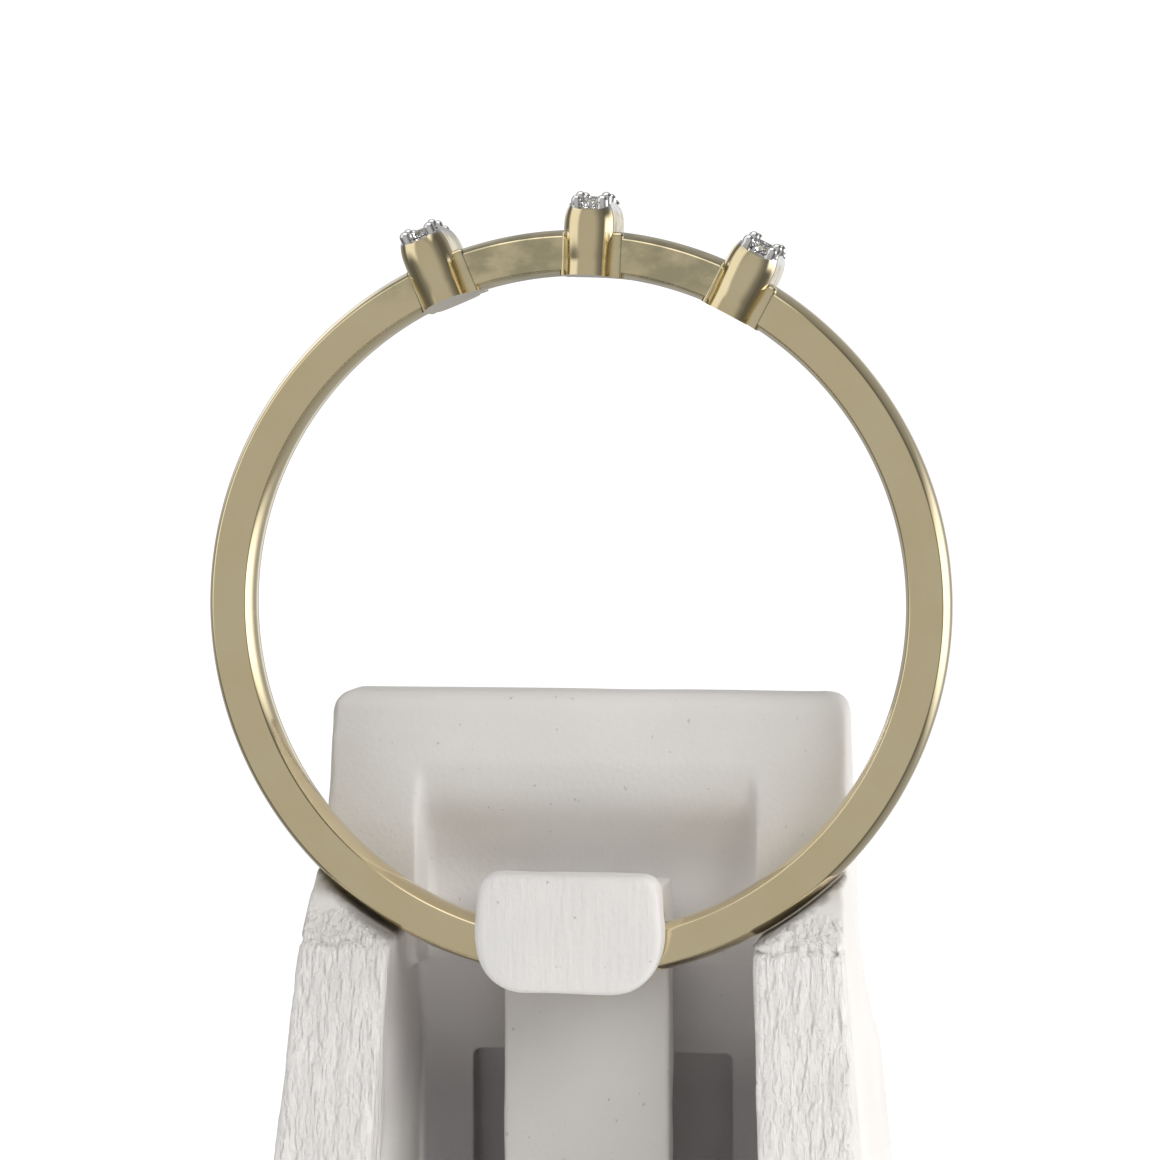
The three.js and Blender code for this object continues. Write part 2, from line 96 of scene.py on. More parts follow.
@dataclass(frozen=True)
class Pattern:
    """Smooth noise on a finish.

    Its scale is in waves per millimetre, and finer layers are added to it. Its limits are the values between
    which it fades from 0 to 1. Its shares stretch it along X, Y and Z: a share under 1 makes it longer.
    """

    scale: float
    layers: float
    limits: tuple[float, float] = (0.0, 1.0)
    shares: tuple[float, float, float] = (1.0, 1.0, 1.0)


class Value:
    """A number that travels through a shader; Python's operators on it add Math nodes."""

    def __init__(self, tree: "ShaderTree", socket: bpy.types.NodeSocket) -> None:
        """Wrap an output socket.

        Args:
            tree: The tree that the socket belongs to.
            socket: The output socket that carries the number.
        """
        self.tree = tree
        self.socket = socket

    def __add__(self, other: Number) -> "Value":
        """Return this plus other."""
        return self.tree.math("ADD", self, other)

    def __radd__(self, other: Number) -> "Value":
        """Return other plus this."""
        return self.tree.math("ADD", other, self)

    def __sub__(self, other: Number) -> "Value":
        """Return this minus other."""
        return self.tree.math("SUBTRACT", self, other)

    def __rsub__(self, other: Number) -> "Value":
        """Return other minus this."""
        return self.tree.math("SUBTRACT", other, self)

    def __mul__(self, other: Number) -> "Value":
        """Return this times other."""
        return self.tree.math("MULTIPLY", self, other)

    def __rmul__(self, other: Number) -> "Value":
        """Return other times this."""
        return self.tree.math("MULTIPLY", other, self)

    def between(self, low: float, high: float) -> "Value":
        """Fade from 0 to 1 while this goes from low to high.

        Args:
            low: Where the fade starts.
            high: Where the fade ends; it may be under low.

        Returns:
            The fade, held between 0 and 1.
        """
        settings = {"interpolation_type": "SMOOTHSTEP"}
        fade = self.tree.node("ShaderNodeMapRange", settings, {0: self, 1: low, 2: high})
        return Value(self.tree, fade.outputs[0])


class ShaderTree:
    """A material's or world's node tree, filled by one method."""

    def __init__(self, owner: Union[bpy.types.Material, bpy.types.World]) -> None:
        """Start an empty tree.

        Args:
            owner: The material or world that the tree belongs to.
        """
        owner.use_nodes = True
        self.tree = owner.node_tree
        self.tree.nodes.clear()

    def node(
        self, kind: str, settings: dict[str, Any] | None = None, inputs: dict[Any, Any] | None = None
    ) -> bpy.types.Node:
        """Add one node.

        Args:
            kind: The node's type, such as ShaderNodeTexNoise.
            settings: Attributes of the node, set before its sockets. A ramp's stops are under "stops".
            inputs: Socket name or number to a value, a Value or an output socket.

        Returns:
            The new node.
        """
        made = self.tree.nodes.new(kind)
        for name, value in (settings or {}).items():
            if name == "stops":
                self._set_stops(made.color_ramp, value)
            else:
                setattr(made, name, value)
        for key, value in (inputs or {}).items():
            source = value.socket if isinstance(value, Value) else value
            if isinstance(source, bpy.types.NodeSocket):
                self.tree.links.new(source, made.inputs[key])
            else:
                made.inputs[key].default_value = source
        return made

    @staticmethod
    def _set_stops(ramp: bpy.types.ColorRamp, stops: Sequence[tuple[float, Colour]]) -> None:
        """Give a colour ramp its stops.

        Args:
            ramp: The ramp.
            stops: Place and colour of each stop, in order.
        """
        while len(ramp.elements) < len(stops):
            ramp.elements.new(1.0)
        for element, (place, colour) in zip(ramp.elements, stops):
            element.position = place
            element.color = colour

    def math(self, operation: str, *terms: Number) -> Value:
        """Return the result of a Math node on one to three terms."""
        made = self.node("ShaderNodeMath", {"operation": operation}, dict(enumerate(terms)))
        return Value(self, made.outputs[0])

    def mix_colour(self, share: Number, low: Any, high: Any) -> bpy.types.NodeSocket:
        """Mix two colours.

        Args:
            share: How much of the second colour there is.
            low: The first colour or its socket.
            high: The second colour or its socket.

        Returns:
            The colour's socket.
        """
        return self.node("ShaderNodeMix", {"data_type": "RGBA"}, {0: share, 6: low, 7: high}).outputs[2]

    def place(self, shares: tuple[float, float, float] = (1.0, 1.0, 1.0)) -> bpy.types.NodeSocket:
        """Find a point's place on the object, in millimetres.

        Args:
            shares: How much of X, Y and Z counts.

        Returns:
            The coordinates' socket.
        """
        spot = self.node("ShaderNodeTexCoord").outputs["Object"]
        in_mm = tuple(share / METRES_PER_MM for share in shares)
        return self.node("ShaderNodeMapping", None, {"Vector": spot, "Scale": in_mm}).outputs[0]

    def split(self, vector: bpy.types.NodeSocket) -> list[Value]:
        """Return a vector's X, Y and Z."""
        parts = self.node("ShaderNodeSeparateXYZ", None, {0: vector}).outputs
        return [Value(self, part) for part in parts]

    def noise(self, pattern: Pattern) -> Value:
        """Return a pattern's noise, about 0.5 on average."""
        inputs = {"Vector": self.place(pattern.shares), "Scale": pattern.scale, "Detail": pattern.layers}
        return Value(self, self.node("ShaderNodeTexNoise", None, inputs).outputs[0])

    def sway(self, pattern: Pattern) -> Value:
        """Return a pattern's noise, about 0 on average."""
        return self.noise(pattern) - 0.5

    def faded(self, pattern: Pattern) -> Value:
        """Return a pattern's noise, faded from 0 to 1 between its limits."""
        return self.noise(pattern).between(*pattern.limits)

    def attribute(self, name: str) -> Value:
        """Return a number that the mesh carries at its points."""
        return Value(self, self.node("ShaderNodeAttribute", {"attribute_name": name}).outputs["Fac"])

    def bump(self, height_mm: Number) -> bpy.types.NodeSocket:
        """Return the normal of a surface whose heights are in millimetres."""
        inputs = {"Height": height_mm, "Distance": METRES_PER_MM, "Strength": 1.0}
        return self.node("ShaderNodeBump", None, inputs).outputs[0]

    def finish(self, shader: bpy.types.NodeSocket, output: str = "ShaderNodeOutputMaterial") -> None:
        """Join a shader to the tree's output."""
        self.node(output, None, {"Surface": shader})

    def surface(self, inputs: dict[str, Any]) -> None:
        """Finish the tree with one plain surface shader that has these inputs."""
        self.finish(self.node("ShaderNodeBsdfPrincipled", None, inputs).outputs[0])


@dataclass(frozen=True)
class PolishedGold:
    """Pale yellow gold with a mirror polish, whitened where the stones are set, with painted shade in
    patches on the band's top.
    """

    name: str = "polished_gold"
    colour: Colour = (0.86, 0.735, 0.47, 1.0)
    deep_colour: Colour = (0.83, 0.70, 0.43, 1.0)
    roughness: float = 0.10
    smears: Pattern = Pattern(0.7, 4.0, (0.35, 0.7))
    ripple_mm: float = 0.0025
    hazes: Pattern = Pattern(2.3, 5.0, (0.45, 0.8))
    haze_roughness: float = 0.07

    # Distances from the ring's axis between which the gold turns white
    white_colour: Colour = (0.86, 0.85, 0.84, 1.0)
    white_radii: tuple[float, float] = (10.3, 10.44)

    # Painted shade: the band's top between the stations is darkened in patches, for its darker reflection:
    # heights over the ring's middle, and half its width
    top_shade_colour: Colour = (0.53, 0.475, 0.30, 1.0)
    top_shade_share: float = 0.9
    top_shade_heights: tuple[float, float] = (7.8, 8.5)
    top_shade_half_width: float = 0.84
    top_shade_fade: float = 0.03
    top_dull_roughness: float = 0.1
    top_shade_patches: Pattern = Pattern(1.9, 5.0, (0.34, 0.64), (0.6, 1.0, 1.0))

    # Hairline scratches, which run across and upright
    scratch_mm: float = 0.0006
    scratches_across: Pattern = Pattern(9.0, 2.0, shares=(0.15, 1.0, 1.0))
    scratches_upright: Pattern = Pattern(9.0, 2.0, shares=(1.0, 1.0, 0.15))

    def material(self, axis: Vector) -> bpy.types.Material:
        """Make the gold.

        Args:
            axis: The ring's middle, in millimetres; the white metal starts at a distance from it.

        Returns:
            The material.
        """
        made = bpy.data.materials.new(self.name)
        tree = ShaderTree(made)
        across, depth, up = (part - middle for part, middle in zip(tree.split(tree.place()), axis))
        radius = tree.math("SQRT", across * across + up * up)
        smear = tree.noise(self.smears)
        # Painted shade: darker gold in patches on the band's top, across the band's width
        half = self.top_shade_half_width
        on_band = tree.math("ABSOLUTE", depth).between(half, half - self.top_shade_fade)
        top_shade = up.between(*self.top_shade_heights) * on_band * tree.faded(self.top_shade_patches)
        colour = tree.mix_colour(smear.between(*self.smears.limits), self.colour, self.deep_colour)
        colour = tree.mix_colour(top_shade * self.top_shade_share, colour, self.top_shade_colour)
        colour = tree.mix_colour(radius.between(*self.white_radii), colour, self.white_colour)
        roughness = self.roughness + self.haze_roughness * tree.faded(self.hazes)
        scratches = tree.noise(self.scratches_across) * tree.noise(self.scratches_upright)
        inputs = {
            "Base Color": colour,
            "Metallic": 1.0,
            "Roughness": roughness + self.top_dull_roughness * top_shade,
            "Normal": tree.bump(smear * self.ripple_mm + scratches * self.scratch_mm),
        }
        tree.surface(inputs)
        return made


@dataclass(frozen=True)
class CutDiamond:
    """Clear cut stone with a high refractive index and sharp facets."""

    name: str = "cut_diamond"
    colour: Colour = (0.98, 0.985, 1.0, 1.0)
    refraction: float = 2.42
    tints: Pattern = Pattern(1.5, 2.0, (0.4, 0.7))
    hazes: Pattern = Pattern(4.0, 2.0)
    haze_roughness: float = 0.012

    def material(self) -> bpy.types.Material:
        """Make the stone's material.

        Returns:
            The material.
        """
        made = bpy.data.materials.new(self.name)
        tree = ShaderTree(made)
        inputs = {
            "Base Color": tree.mix_colour(tree.faded(self.tints), self.colour, WHITE),
            "Roughness": self.haze_roughness * tree.noise(self.hazes),
            "IOR": self.refraction,
            "Transmission Weight": 1.0,
        }
        tree.surface(inputs)
        return made


@dataclass(frozen=True)
class WhitePaint:
    """Matte white paint on moulded plastic, brushed on below a given height on its front, with painted shade
    in its hollow, painted light on its ramp and a painted contact shadow under the ring.
    """

    name: str
    colour: Colour = (0.80, 0.778, 0.752, 1.0)
    shade_colour: Colour = (0.765, 0.74, 0.714, 1.0)
    roughness: float = 0.5
    shine: float = 0.35
    clouds: Pattern = Pattern(0.28, 4.0, (0.35, 0.7))
    cloud_roughness: float = 0.2
    grains: Pattern = Pattern(7.0, 4.0)
    grain_mm: float = 0.012

    # Pinholes
    specks: Pattern = Pattern(4.6, 2.0, (0.73, 0.76))
    speck_mm: float = 0.02
    speck_share: float = 0.35

    # Brush strokes: their height, the top and front of their zone, and how far from the middle it starts
    stroke_mm: float = 0.0
    stroke_top: float = 0.0
    stroke_front: float = 0.0
    stroke_fade: float = 0.35
    stroke_from: float = -1.0
    ragged_edge: Pattern = Pattern(1.4, 4.0, shares=(1.0, 1.0, 0.35))
    ragged_fades: float = 4.0
    ridges: Pattern = Pattern(5.2, 5.0, (0.34, 0.7), (1.0, 1.0, 0.14))
    hairs: Pattern = Pattern(17.0, 3.0, shares=(1.0, 1.0, 0.10))
    hair_share: float = 0.25
    dabs: Pattern = Pattern(5.5, 4.0, (0.42, 0.66), (1.0, 1.0, 0.6))
    dab_share: float = 0.3

    # The crack: how far the skin has to be open for it to show, and where it breaks off
    crack_colour: Colour = (0.42, 0.40, 0.38, 1.0)
    crack_limits: tuple[float, float] = (0.35, 1.0)
    crack_breaks: Pattern = Pattern(5.5, 4.0, (0.34, 0.62))

    # Painted shade in the hollow between the arms, darker towards the bottom: half its width, its front, and
    # the heights of the first and of the deeper shade
    hollow_shade_colour: Colour = (0.60, 0.575, 0.565, 1.0)
    deep_colour: Colour = (0.33, 0.31, 0.32, 1.0)
    deep_share: float = 0.7
    hollow_half: float = 0.0
    hollow_half_fade: float = 0.1
    hollow_front: float = 0.0
    hollow_front_fade: float = 0.4
    hollow_heights: tuple[float, float] = (15.4, 13.2)
    deep_heights: tuple[float, float] = (11.6, 9.2)

    # Painted light on the recess's ramp: the heights between which it is lightened, and half the ramp's
    # width
    ramp_light_colour: Colour = (0.91, 0.89, 0.865, 1.0)
    ramp_light_heights: tuple[float, float] = (0.0, 0.0)
    ramp_light_height_fade: float = 0.5
    ramp_light_half: float = 0.0
    ramp_light_half_fade: float = 0.3

    # Painted contact shadow where the ring sits on the paint: the ring's middle, the radii between which the
    # shadow lies, and the shadow's back
    contact_shadow_colour: Colour = (0.13, 0.115, 0.10, 1.0)
    contact_shadow_share: float = 0.7
    contact_shadow_middle: tuple[float, float] = (0.0, 0.0)
    contact_shadow_radii: tuple[float, float] = (0.0, 0.0)
    contact_shadow_back: float = 0.0
    contact_shadow_back_fade: float = 0.2
    contact_shadow_edge: Pattern = Pattern(3.0, 3.0)
    contact_shadow_edge_mm: float = 0.3

    def brushed(self, tree: ShaderTree, across: Value, depth: Value, up: Value) -> Value:
        """Find how thickly the paint is brushed on at a point.

        Args:
            tree: The paint's tree.
            across: The point's X, from the left to the right.
            depth: Its Y, from the front to the back.
            up: Its height.

        Returns:
            The thickness, from 0 to 1.
        """
        fade = self.stroke_fade
        ragged = tree.sway(self.ragged_edge) * (self.ragged_fades * fade)
        share = (depth + ragged).between(self.stroke_front + fade, self.stroke_front - fade)
        aside = tree.math("ABSOLUTE", across).between(self.stroke_from, self.stroke_from + fade)
        return share * aside * up.between(self.stroke_top + fade, self.stroke_top - fade)

    def hollow(self, tree: ShaderTree, across: Value, depth: Value) -> Value:
        """Find whether a point is in the hollow between the arms.

        Args:
            tree: The paint's tree.
            across: The point's X.
            depth: Its Y.

        Returns:
            1 inside and 0 outside, with a soft edge.
        """
        side, front = self.hollow_half_fade, self.hollow_front_fade
        inside = tree.math("ABSOLUTE", across).between(self.hollow_half + side, self.hollow_half - side)
        return inside * depth.between(self.hollow_front - front, self.hollow_front + front)

    def lit_ramp(self, tree: ShaderTree, across: Value, up: Value) -> Value:
        """Find how much painted light lightens a point of the recess's ramp.

        Args:
            tree: The paint's tree.
            across: The point's X.
            up: Its height.

        Returns:
            The amount, from 0 to 1.
        """
        low, high = self.ramp_light_heights
        fade = self.ramp_light_height_fade
        inside = tree.math("ABSOLUTE", across).between(self.ramp_light_half, self.ramp_light_half - self.ramp_light_half_fade)
        return inside * up.between(low - fade, low + fade) * up.between(high + fade, high - fade)

    def contact_shadow(self, tree: ShaderTree, across: Value, depth: Value, up: Value) -> Value:
        """Find how dark the painted contact shadow under the ring is at a point.

        Args:
            tree: The paint's tree.
            across: The point's X.
            depth: Its Y.
            up: Its height.

        Returns:
            The darkness, from 0 to 1.
        """
        x, z = across - self.contact_shadow_middle[0], up - self.contact_shadow_middle[1]
        radius = tree.math("SQRT", x * x + z * z) + tree.sway(self.contact_shadow_edge) * self.contact_shadow_edge_mm
        inner, outer = self.contact_shadow_radii
        back = self.contact_shadow_back
        return radius.between(outer, inner) * depth.between(back, back - self.contact_shadow_back_fade)

    def material(self) -> bpy.types.Material:
        """Make the paint.

        Returns:
            The material.
        """
        made = bpy.data.materials.new(self.name)
        tree = ShaderTree(made)
        across, depth, up = tree.split(tree.place())
        clouds = tree.noise(self.clouds)
        dabs = self.dab_share * tree.faded(self.dabs)
        bristles = tree.faded(self.ridges) + self.hair_share * tree.noise(self.hairs) + dabs
        strokes = self.brushed(tree, across, depth, up) * bristles
        specks = tree.faded(self.specks)
        height = tree.noise(self.grains) * self.grain_mm + strokes * self.stroke_mm - self.speck_mm * specks
        crack = tree.attribute(CRACK).between(*self.crack_limits) * tree.faded(self.crack_breaks)
        hollow = self.hollow(tree, across, depth)
        layers = (
            (clouds.between(*self.clouds.limits), self.shade_colour),
            # Painted light: the recess's ramp lightened
            (self.lit_ramp(tree, across, up), self.ramp_light_colour),
            # Painted shade in the hollow, darker towards the bottom
            (hollow * up.between(*self.hollow_heights), self.hollow_shade_colour),
            (hollow * up.between(*self.deep_heights) * self.deep_share, self.deep_colour),
            (specks * self.speck_share + crack, self.crack_colour),
            # Painted contact shadow under the ring
            (self.contact_shadow(tree, across, depth, up) * self.contact_shadow_share, self.contact_shadow_colour),
        )
        colour: Any = self.colour
        for share, layer_colour in layers:
            colour = tree.mix_colour(share, colour, layer_colour)
        inputs = {
            "Base Color": colour,
            "Roughness": self.roughness + self.cloud_roughness * clouds,
            "Specular IOR Level": self.shine,
            "Normal": tree.bump(height),
        }
        tree.surface(inputs)
        return made


@dataclass(frozen=True)
class FloorPaper:
    """Plain pale paper under the stand."""

    name: str = "floor_paper"
    colour: Colour = (0.93, 0.93, 0.93, 1.0)
    roughness: float = 0.9
    glow: float = 0.7

    def material(self) -> bpy.types.Material:
        """Make the paper.

        Returns:
            The material.
        """
        made = bpy.data.materials.new(self.name)
        inputs = {
            "Base Color": self.colour,
            "Roughness": self.roughness,
            "Emission Color": self.colour,
            "Emission Strength": self.glow,
        }
        ShaderTree(made).surface(inputs)
        return made


def link(name: str, mesh: bpy.types.Mesh) -> bpy.types.Object:
    """Put a mesh into the scene.

    Args:
        name: The object's name.
        mesh: Its mesh.

    Returns:
        The new object, at the origin.
    """
    made = bpy.data.objects.new(name, mesh)
    bpy.context.scene.collection.objects.link(made)
    return made


def mesh_from(name: str, points: Iterable[Vector], faces: Iterable[Sequence[int]]) -> bpy.types.Mesh:
    """Make a mesh from points and faces.

    Args:
        name: The mesh's name.
        points: Its corners.
        faces: The corners of each face, as numbers into points.

    Returns:
        The mesh.
    """
    mesh = bpy.data.meshes.new(name)
    mesh.from_pydata([tuple(point) for point in points], [], [tuple(face) for face in faces])
    mesh.validate()
    return mesh


def apply_modifiers(piece: bpy.types.Object) -> bpy.types.Object:
    """Turn an object's modifiers into plain mesh.

    Args:
        piece: The object.

    Returns:
        The same object, with the result as its mesh and no modifiers.
    """
    graph = bpy.context.evaluated_depsgraph_get()
    result = bpy.data.meshes.new_from_object(piece.evaluated_get(graph), depsgraph=graph)
    old = piece.data
    piece.modifiers.clear()
    piece.data = result
    bpy.data.meshes.remove(old)
    return piece


def held(share: float) -> float:
    """Return a share, held between 0 and 1."""
    return max(0.0, min(1.0, share))


def smooth_faces(mesh: bpy.types.Mesh, sharp_degrees: float | None = None) -> None:
    """Shade a mesh smoothly.

    Args:
        mesh: The mesh.
        sharp_degrees: Edges that turn more than this stay crisp, if it is given.
    """
    mesh.polygons.foreach_set("use_smooth", [True] * len(mesh.polygons))
    if sharp_degrees is not None:
        mesh.set_sharp_from_angle(angle=math.radians(sharp_degrees))


def merge_corners(mesh: bpy.types.Mesh, distance: float, turn_outwards: bool = False) -> None:
    """Merge a mesh's doubled corners.

    Args:
        mesh: The mesh.
        distance: How near corners have to be.
        turn_outwards: Whether the faces are made to point outwards as well.
    """
    work = bmesh.new()
    work.from_mesh(mesh)
    bmesh.ops.remove_doubles(work, verts=work.verts, dist=distance)
    if turn_outwards:
        bmesh.ops.recalc_face_normals(work, faces=work.faces)
    work.to_mesh(mesh)
    work.free()


def combine(piece: bpy.types.Object, other: bpy.types.Object, joining: Joining) -> None:
    """Add one solid to another or cut it out, and delete it.

    Args:
        piece: The solid that stays.
        other: The solid that is used up.
        joining: Which of the two is done.
    """
    modifier = piece.modifiers.new(joining.name, "BOOLEAN")
    modifier.operation = joining.value
    modifier.object = other
    modifier.solver = "EXACT"
    bpy.context.view_layer.update()
    apply_modifiers(piece)
    bpy.data.objects.remove(other)


def settle(piece: bpy.types.Object, material: bpy.types.Material, slot: Slot, *nodes: str) -> None:
    """Scale a finished piece to metres and tie it to the frame.

    Args:
        piece: The piece, with its mesh in millimetres.
        material: What it is made of.
        slot: The record's slot for it; not used.
        nodes: The CAD nodes that it stands for.
    """
    piece.data.transform(Matrix.Scale(METRES_PER_MM, 4))
    piece.data.materials.clear()
    piece.data.materials.append(material)
    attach(piece, "root")
    if nodes:
        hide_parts(*nodes)
    triangles = sum(len(face.vertices) - 2 for face in piece.data.polygons)
    log.info("%s: %d triangles", piece.name, triangles)


class NodeRecipe:
    """A Geometry Nodes tree with named inputs that ends in Realize Instances and Set Material."""

    def __init__(self, name: str, inputs: dict[str, tuple[str, Any]]) -> None:
        """Start the tree.

        Args:
            name: The tree's name.
            inputs: Input name to its socket type and value.
        """
        self.group = bpy.data.node_groups.new(name, "GeometryNodeTree")
        self.values: dict[str, Any] = {}
        self._socket("Geometry", "INPUT", "NodeSocketGeometry")
        for label, (kind, value) in inputs.items():
            self.values[self._socket(label, "INPUT", kind)] = value
        self._socket("Geometry", "OUTPUT", "NodeSocketGeometry")
        self.start = self.group.nodes.new("NodeGroupInput")

    def _socket(self, label: str, way: str, kind: str) -> str:
        """Add an input or output and return its identifier."""
        return self.group.interface.new_socket(label, in_out=way, socket_type=kind).identifier

    def node(
        self, kind: str, inputs: dict[Any, Any] | None = None, settings: dict[str, Any] | None = None
    ) -> bpy.types.Node:
        """Add one node.

        Args:
            kind: The node's type.
            inputs: Socket name or number to a value or an output socket.
            settings: Attributes of the node, set first.

        Returns:
            The new node.
        """
        made = self.group.nodes.new(kind)
        for name, value in (settings or {}).items():
            setattr(made, name, value)
        for key, value in (inputs or {}).items():
            if isinstance(value, bpy.types.NodeSocket):
                self.group.links.new(value, made.inputs[key])
            else:
                made.inputs[key].default_value = value
        return made

    def finish(self, geometry: bpy.types.NodeSocket) -> None:
        """End the tree: realize instances, set the material and join the output.

        Args:
            geometry: What the tree has made. The tree's inputs have a material named Material.
        """
        real = self.node("GeometryNodeRealizeInstances", {"Geometry": geometry}).outputs[0]
        inputs = {"Geometry": real, "Material": self.start.outputs["Material"]}
        dressed = self.node("GeometryNodeSetMaterial", inputs).outputs[0]
        self.node("NodeGroupOutput", {"Geometry": dressed})

    def run_on(self, piece: bpy.types.Object) -> bpy.types.Object:
        """Run the tree on an object and leave the result as its mesh.

        Args:
            piece: The object whose mesh goes in.

        Returns:
            The same object, with the result as a plain mesh.
        """
        modifier = piece.modifiers.new(self.group.name, "NODES")
        modifier.node_group = self.group
        for identifier, value in self.values.items():
            modifier[identifier] = value
        piece.update_tag()
        bpy.context.view_layer.update()
        return apply_modifiers(piece)


@dataclass
class RingPlace:
    """Where the ring stands and how big it is, read from the frame, in millimetres."""

    axis: Vector = field(init=False)
    outer_radius: float = field(init=False)
    length: float = field(init=False)

    def __post_init__(self) -> None:
        """Read the metal's box."""
        low, high = (corner / METRES_PER_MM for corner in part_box("ring_metal"))
        self.outer_radius = (high.x - low.x) / 2
        self.length = high.y - low.y
        self.axis = Vector(((low.x + high.x) / 2, (low.y + high.y) / 2, low.z + self.outer_radius))

    def turned(self, degrees: float) -> Matrix:
        """Return the matrix that takes the ring's top to an angle round its axis."""
        return Matrix.Translation(self.axis) @ Matrix.Rotation(math.radians(degrees), 4, "Y")


@dataclass
class Band:
    """The plain band: flat sides, a crowned outside and a rounded inside."""

    place: RingPlace
    width: float = 1.6
    side: float = 0.88
    crown: float = 0.2
    comfort: float = 0.13
    edge_round: float = 0.06
    steps: int = 420
    arch_steps: int = 14
    round_steps: int = 6
    crisp_degrees: float = 50.0

    @property
    def inner_radius(self) -> float:
        """The radius of the finger hole."""
        return self.place.outer_radius - self.crown - self.side - self.comfort

    def arch(self, radius: float, swell: float) -> list[Vector]:
        """Return an arc across the band.

        Args:
            radius: The radius at the band's two sides.
            swell: How far the middle stands out, negative for towards the finger.

        Returns:
            Points (radius, along the axis), from the front side to the back.
        """
        half = self.width / 2
        bend = (half**2 + swell**2) / (2 * abs(swell))
        reach = math.asin(half / bend)
        points = []
        for i in range(self.arch_steps + 1):
            angle = reach * (2 * i / self.arch_steps - 1)
            rise = math.copysign(bend * math.cos(angle) - (bend - abs(swell)), swell)
            points.append(Vector((radius + rise, bend * math.sin(angle), 0.0)))
        return points

    def rounded(self, points: list[Vector], corners: set[int]) -> list[Vector]:
        """Round some corners of a closed outline.

        Args:
            points: The outline.
            corners: The numbers of the points that are rounded.

        Returns:
            The outline with a small arc in place of each of those points.
        """
        result = []
        for i, point in enumerate(points):
            if i not in corners:
                result.append(point)
                continue
            before = (points[i - 1] - point).normalized() * self.edge_round
            after = (points[(i + 1) % len(points)] - point).normalized() * self.edge_round
            for step in range(self.round_steps + 1):
                t = step / self.round_steps
                result.append(point + before * (1 - t) ** 2 + after * t**2)
        return result

    def section(self) -> list[Vector]:
        """Draw the band's rounded section.

        Returns:
            The closed outline, as (radius, along the axis).
        """
        outside = self.arch(self.place.outer_radius - self.crown, self.crown)
        inside = self.arch(self.inner_radius + self.comfort, -self.comfort)
        count = self.arch_steps + 1
        outline = outside + inside[::-1]
        return self.rounded(outline, {0, count - 1, count, 2 * count - 1})

    def recipe(self, material: bpy.types.Material) -> NodeRecipe:
        """Return the tree that turns the section round the ring's axis.

        Args:
            material: What the band is made of.

        Returns:
            The tree, whose geometry input is the section as a loop of edges.
        """
        recipe = NodeRecipe(
            "turned_band",
            {
                "Path radius": ("NodeSocketFloat", self.place.outer_radius),
                "Steps": ("NodeSocketInt", self.steps),
                "Material": ("NodeSocketMaterial", material),
            },
        )
        start = recipe.start.outputs
        path = {"Resolution": start["Steps"], "Radius": start["Path radius"]}
        circle = recipe.node("GeometryNodeCurvePrimitiveCircle", path)
        section = recipe.node("GeometryNodeMeshToCurve", {"Mesh": start["Geometry"]})
        curves = {"Curve": circle.outputs[0], "Profile Curve": section.outputs[0]}
        swept = recipe.node("GeometryNodeCurveToMesh", curves)
        turn = {"Geometry": swept.outputs[0], "Rotation": (math.pi / 2, 0.0, 0.0)}
        upright = recipe.node("GeometryNodeTransform", turn)
        smooth = recipe.node("GeometryNodeSetShadeSmooth", {0: upright.outputs[0]})
        recipe.finish(smooth.outputs[0])
        return recipe

    def build(self, material: bpy.types.Material) -> bpy.types.Object:
        """Build the band.

        Args:
            material: What it is made of.

        Returns:
            The band about its place in the frame, in millimetres.
        """
        points = [Vector((p.x - self.place.outer_radius, p.y, 0.0)) for p in self.section()]
        mesh = bpy.data.meshes.new("ring_band")
        edges = [(i, (i + 1) % len(points)) for i in range(len(points))]
        mesh.from_pydata([tuple(p) for p in points], edges, [])
        piece = self.recipe(material).run_on(link("ring_band", mesh))
        piece.data.transform(Matrix.Translation(self.place.axis))
        merge_corners(piece.data, MERGE_MM, turn_outwards=True)
        smooth_faces(piece.data, self.crisp_degrees)
        return piece


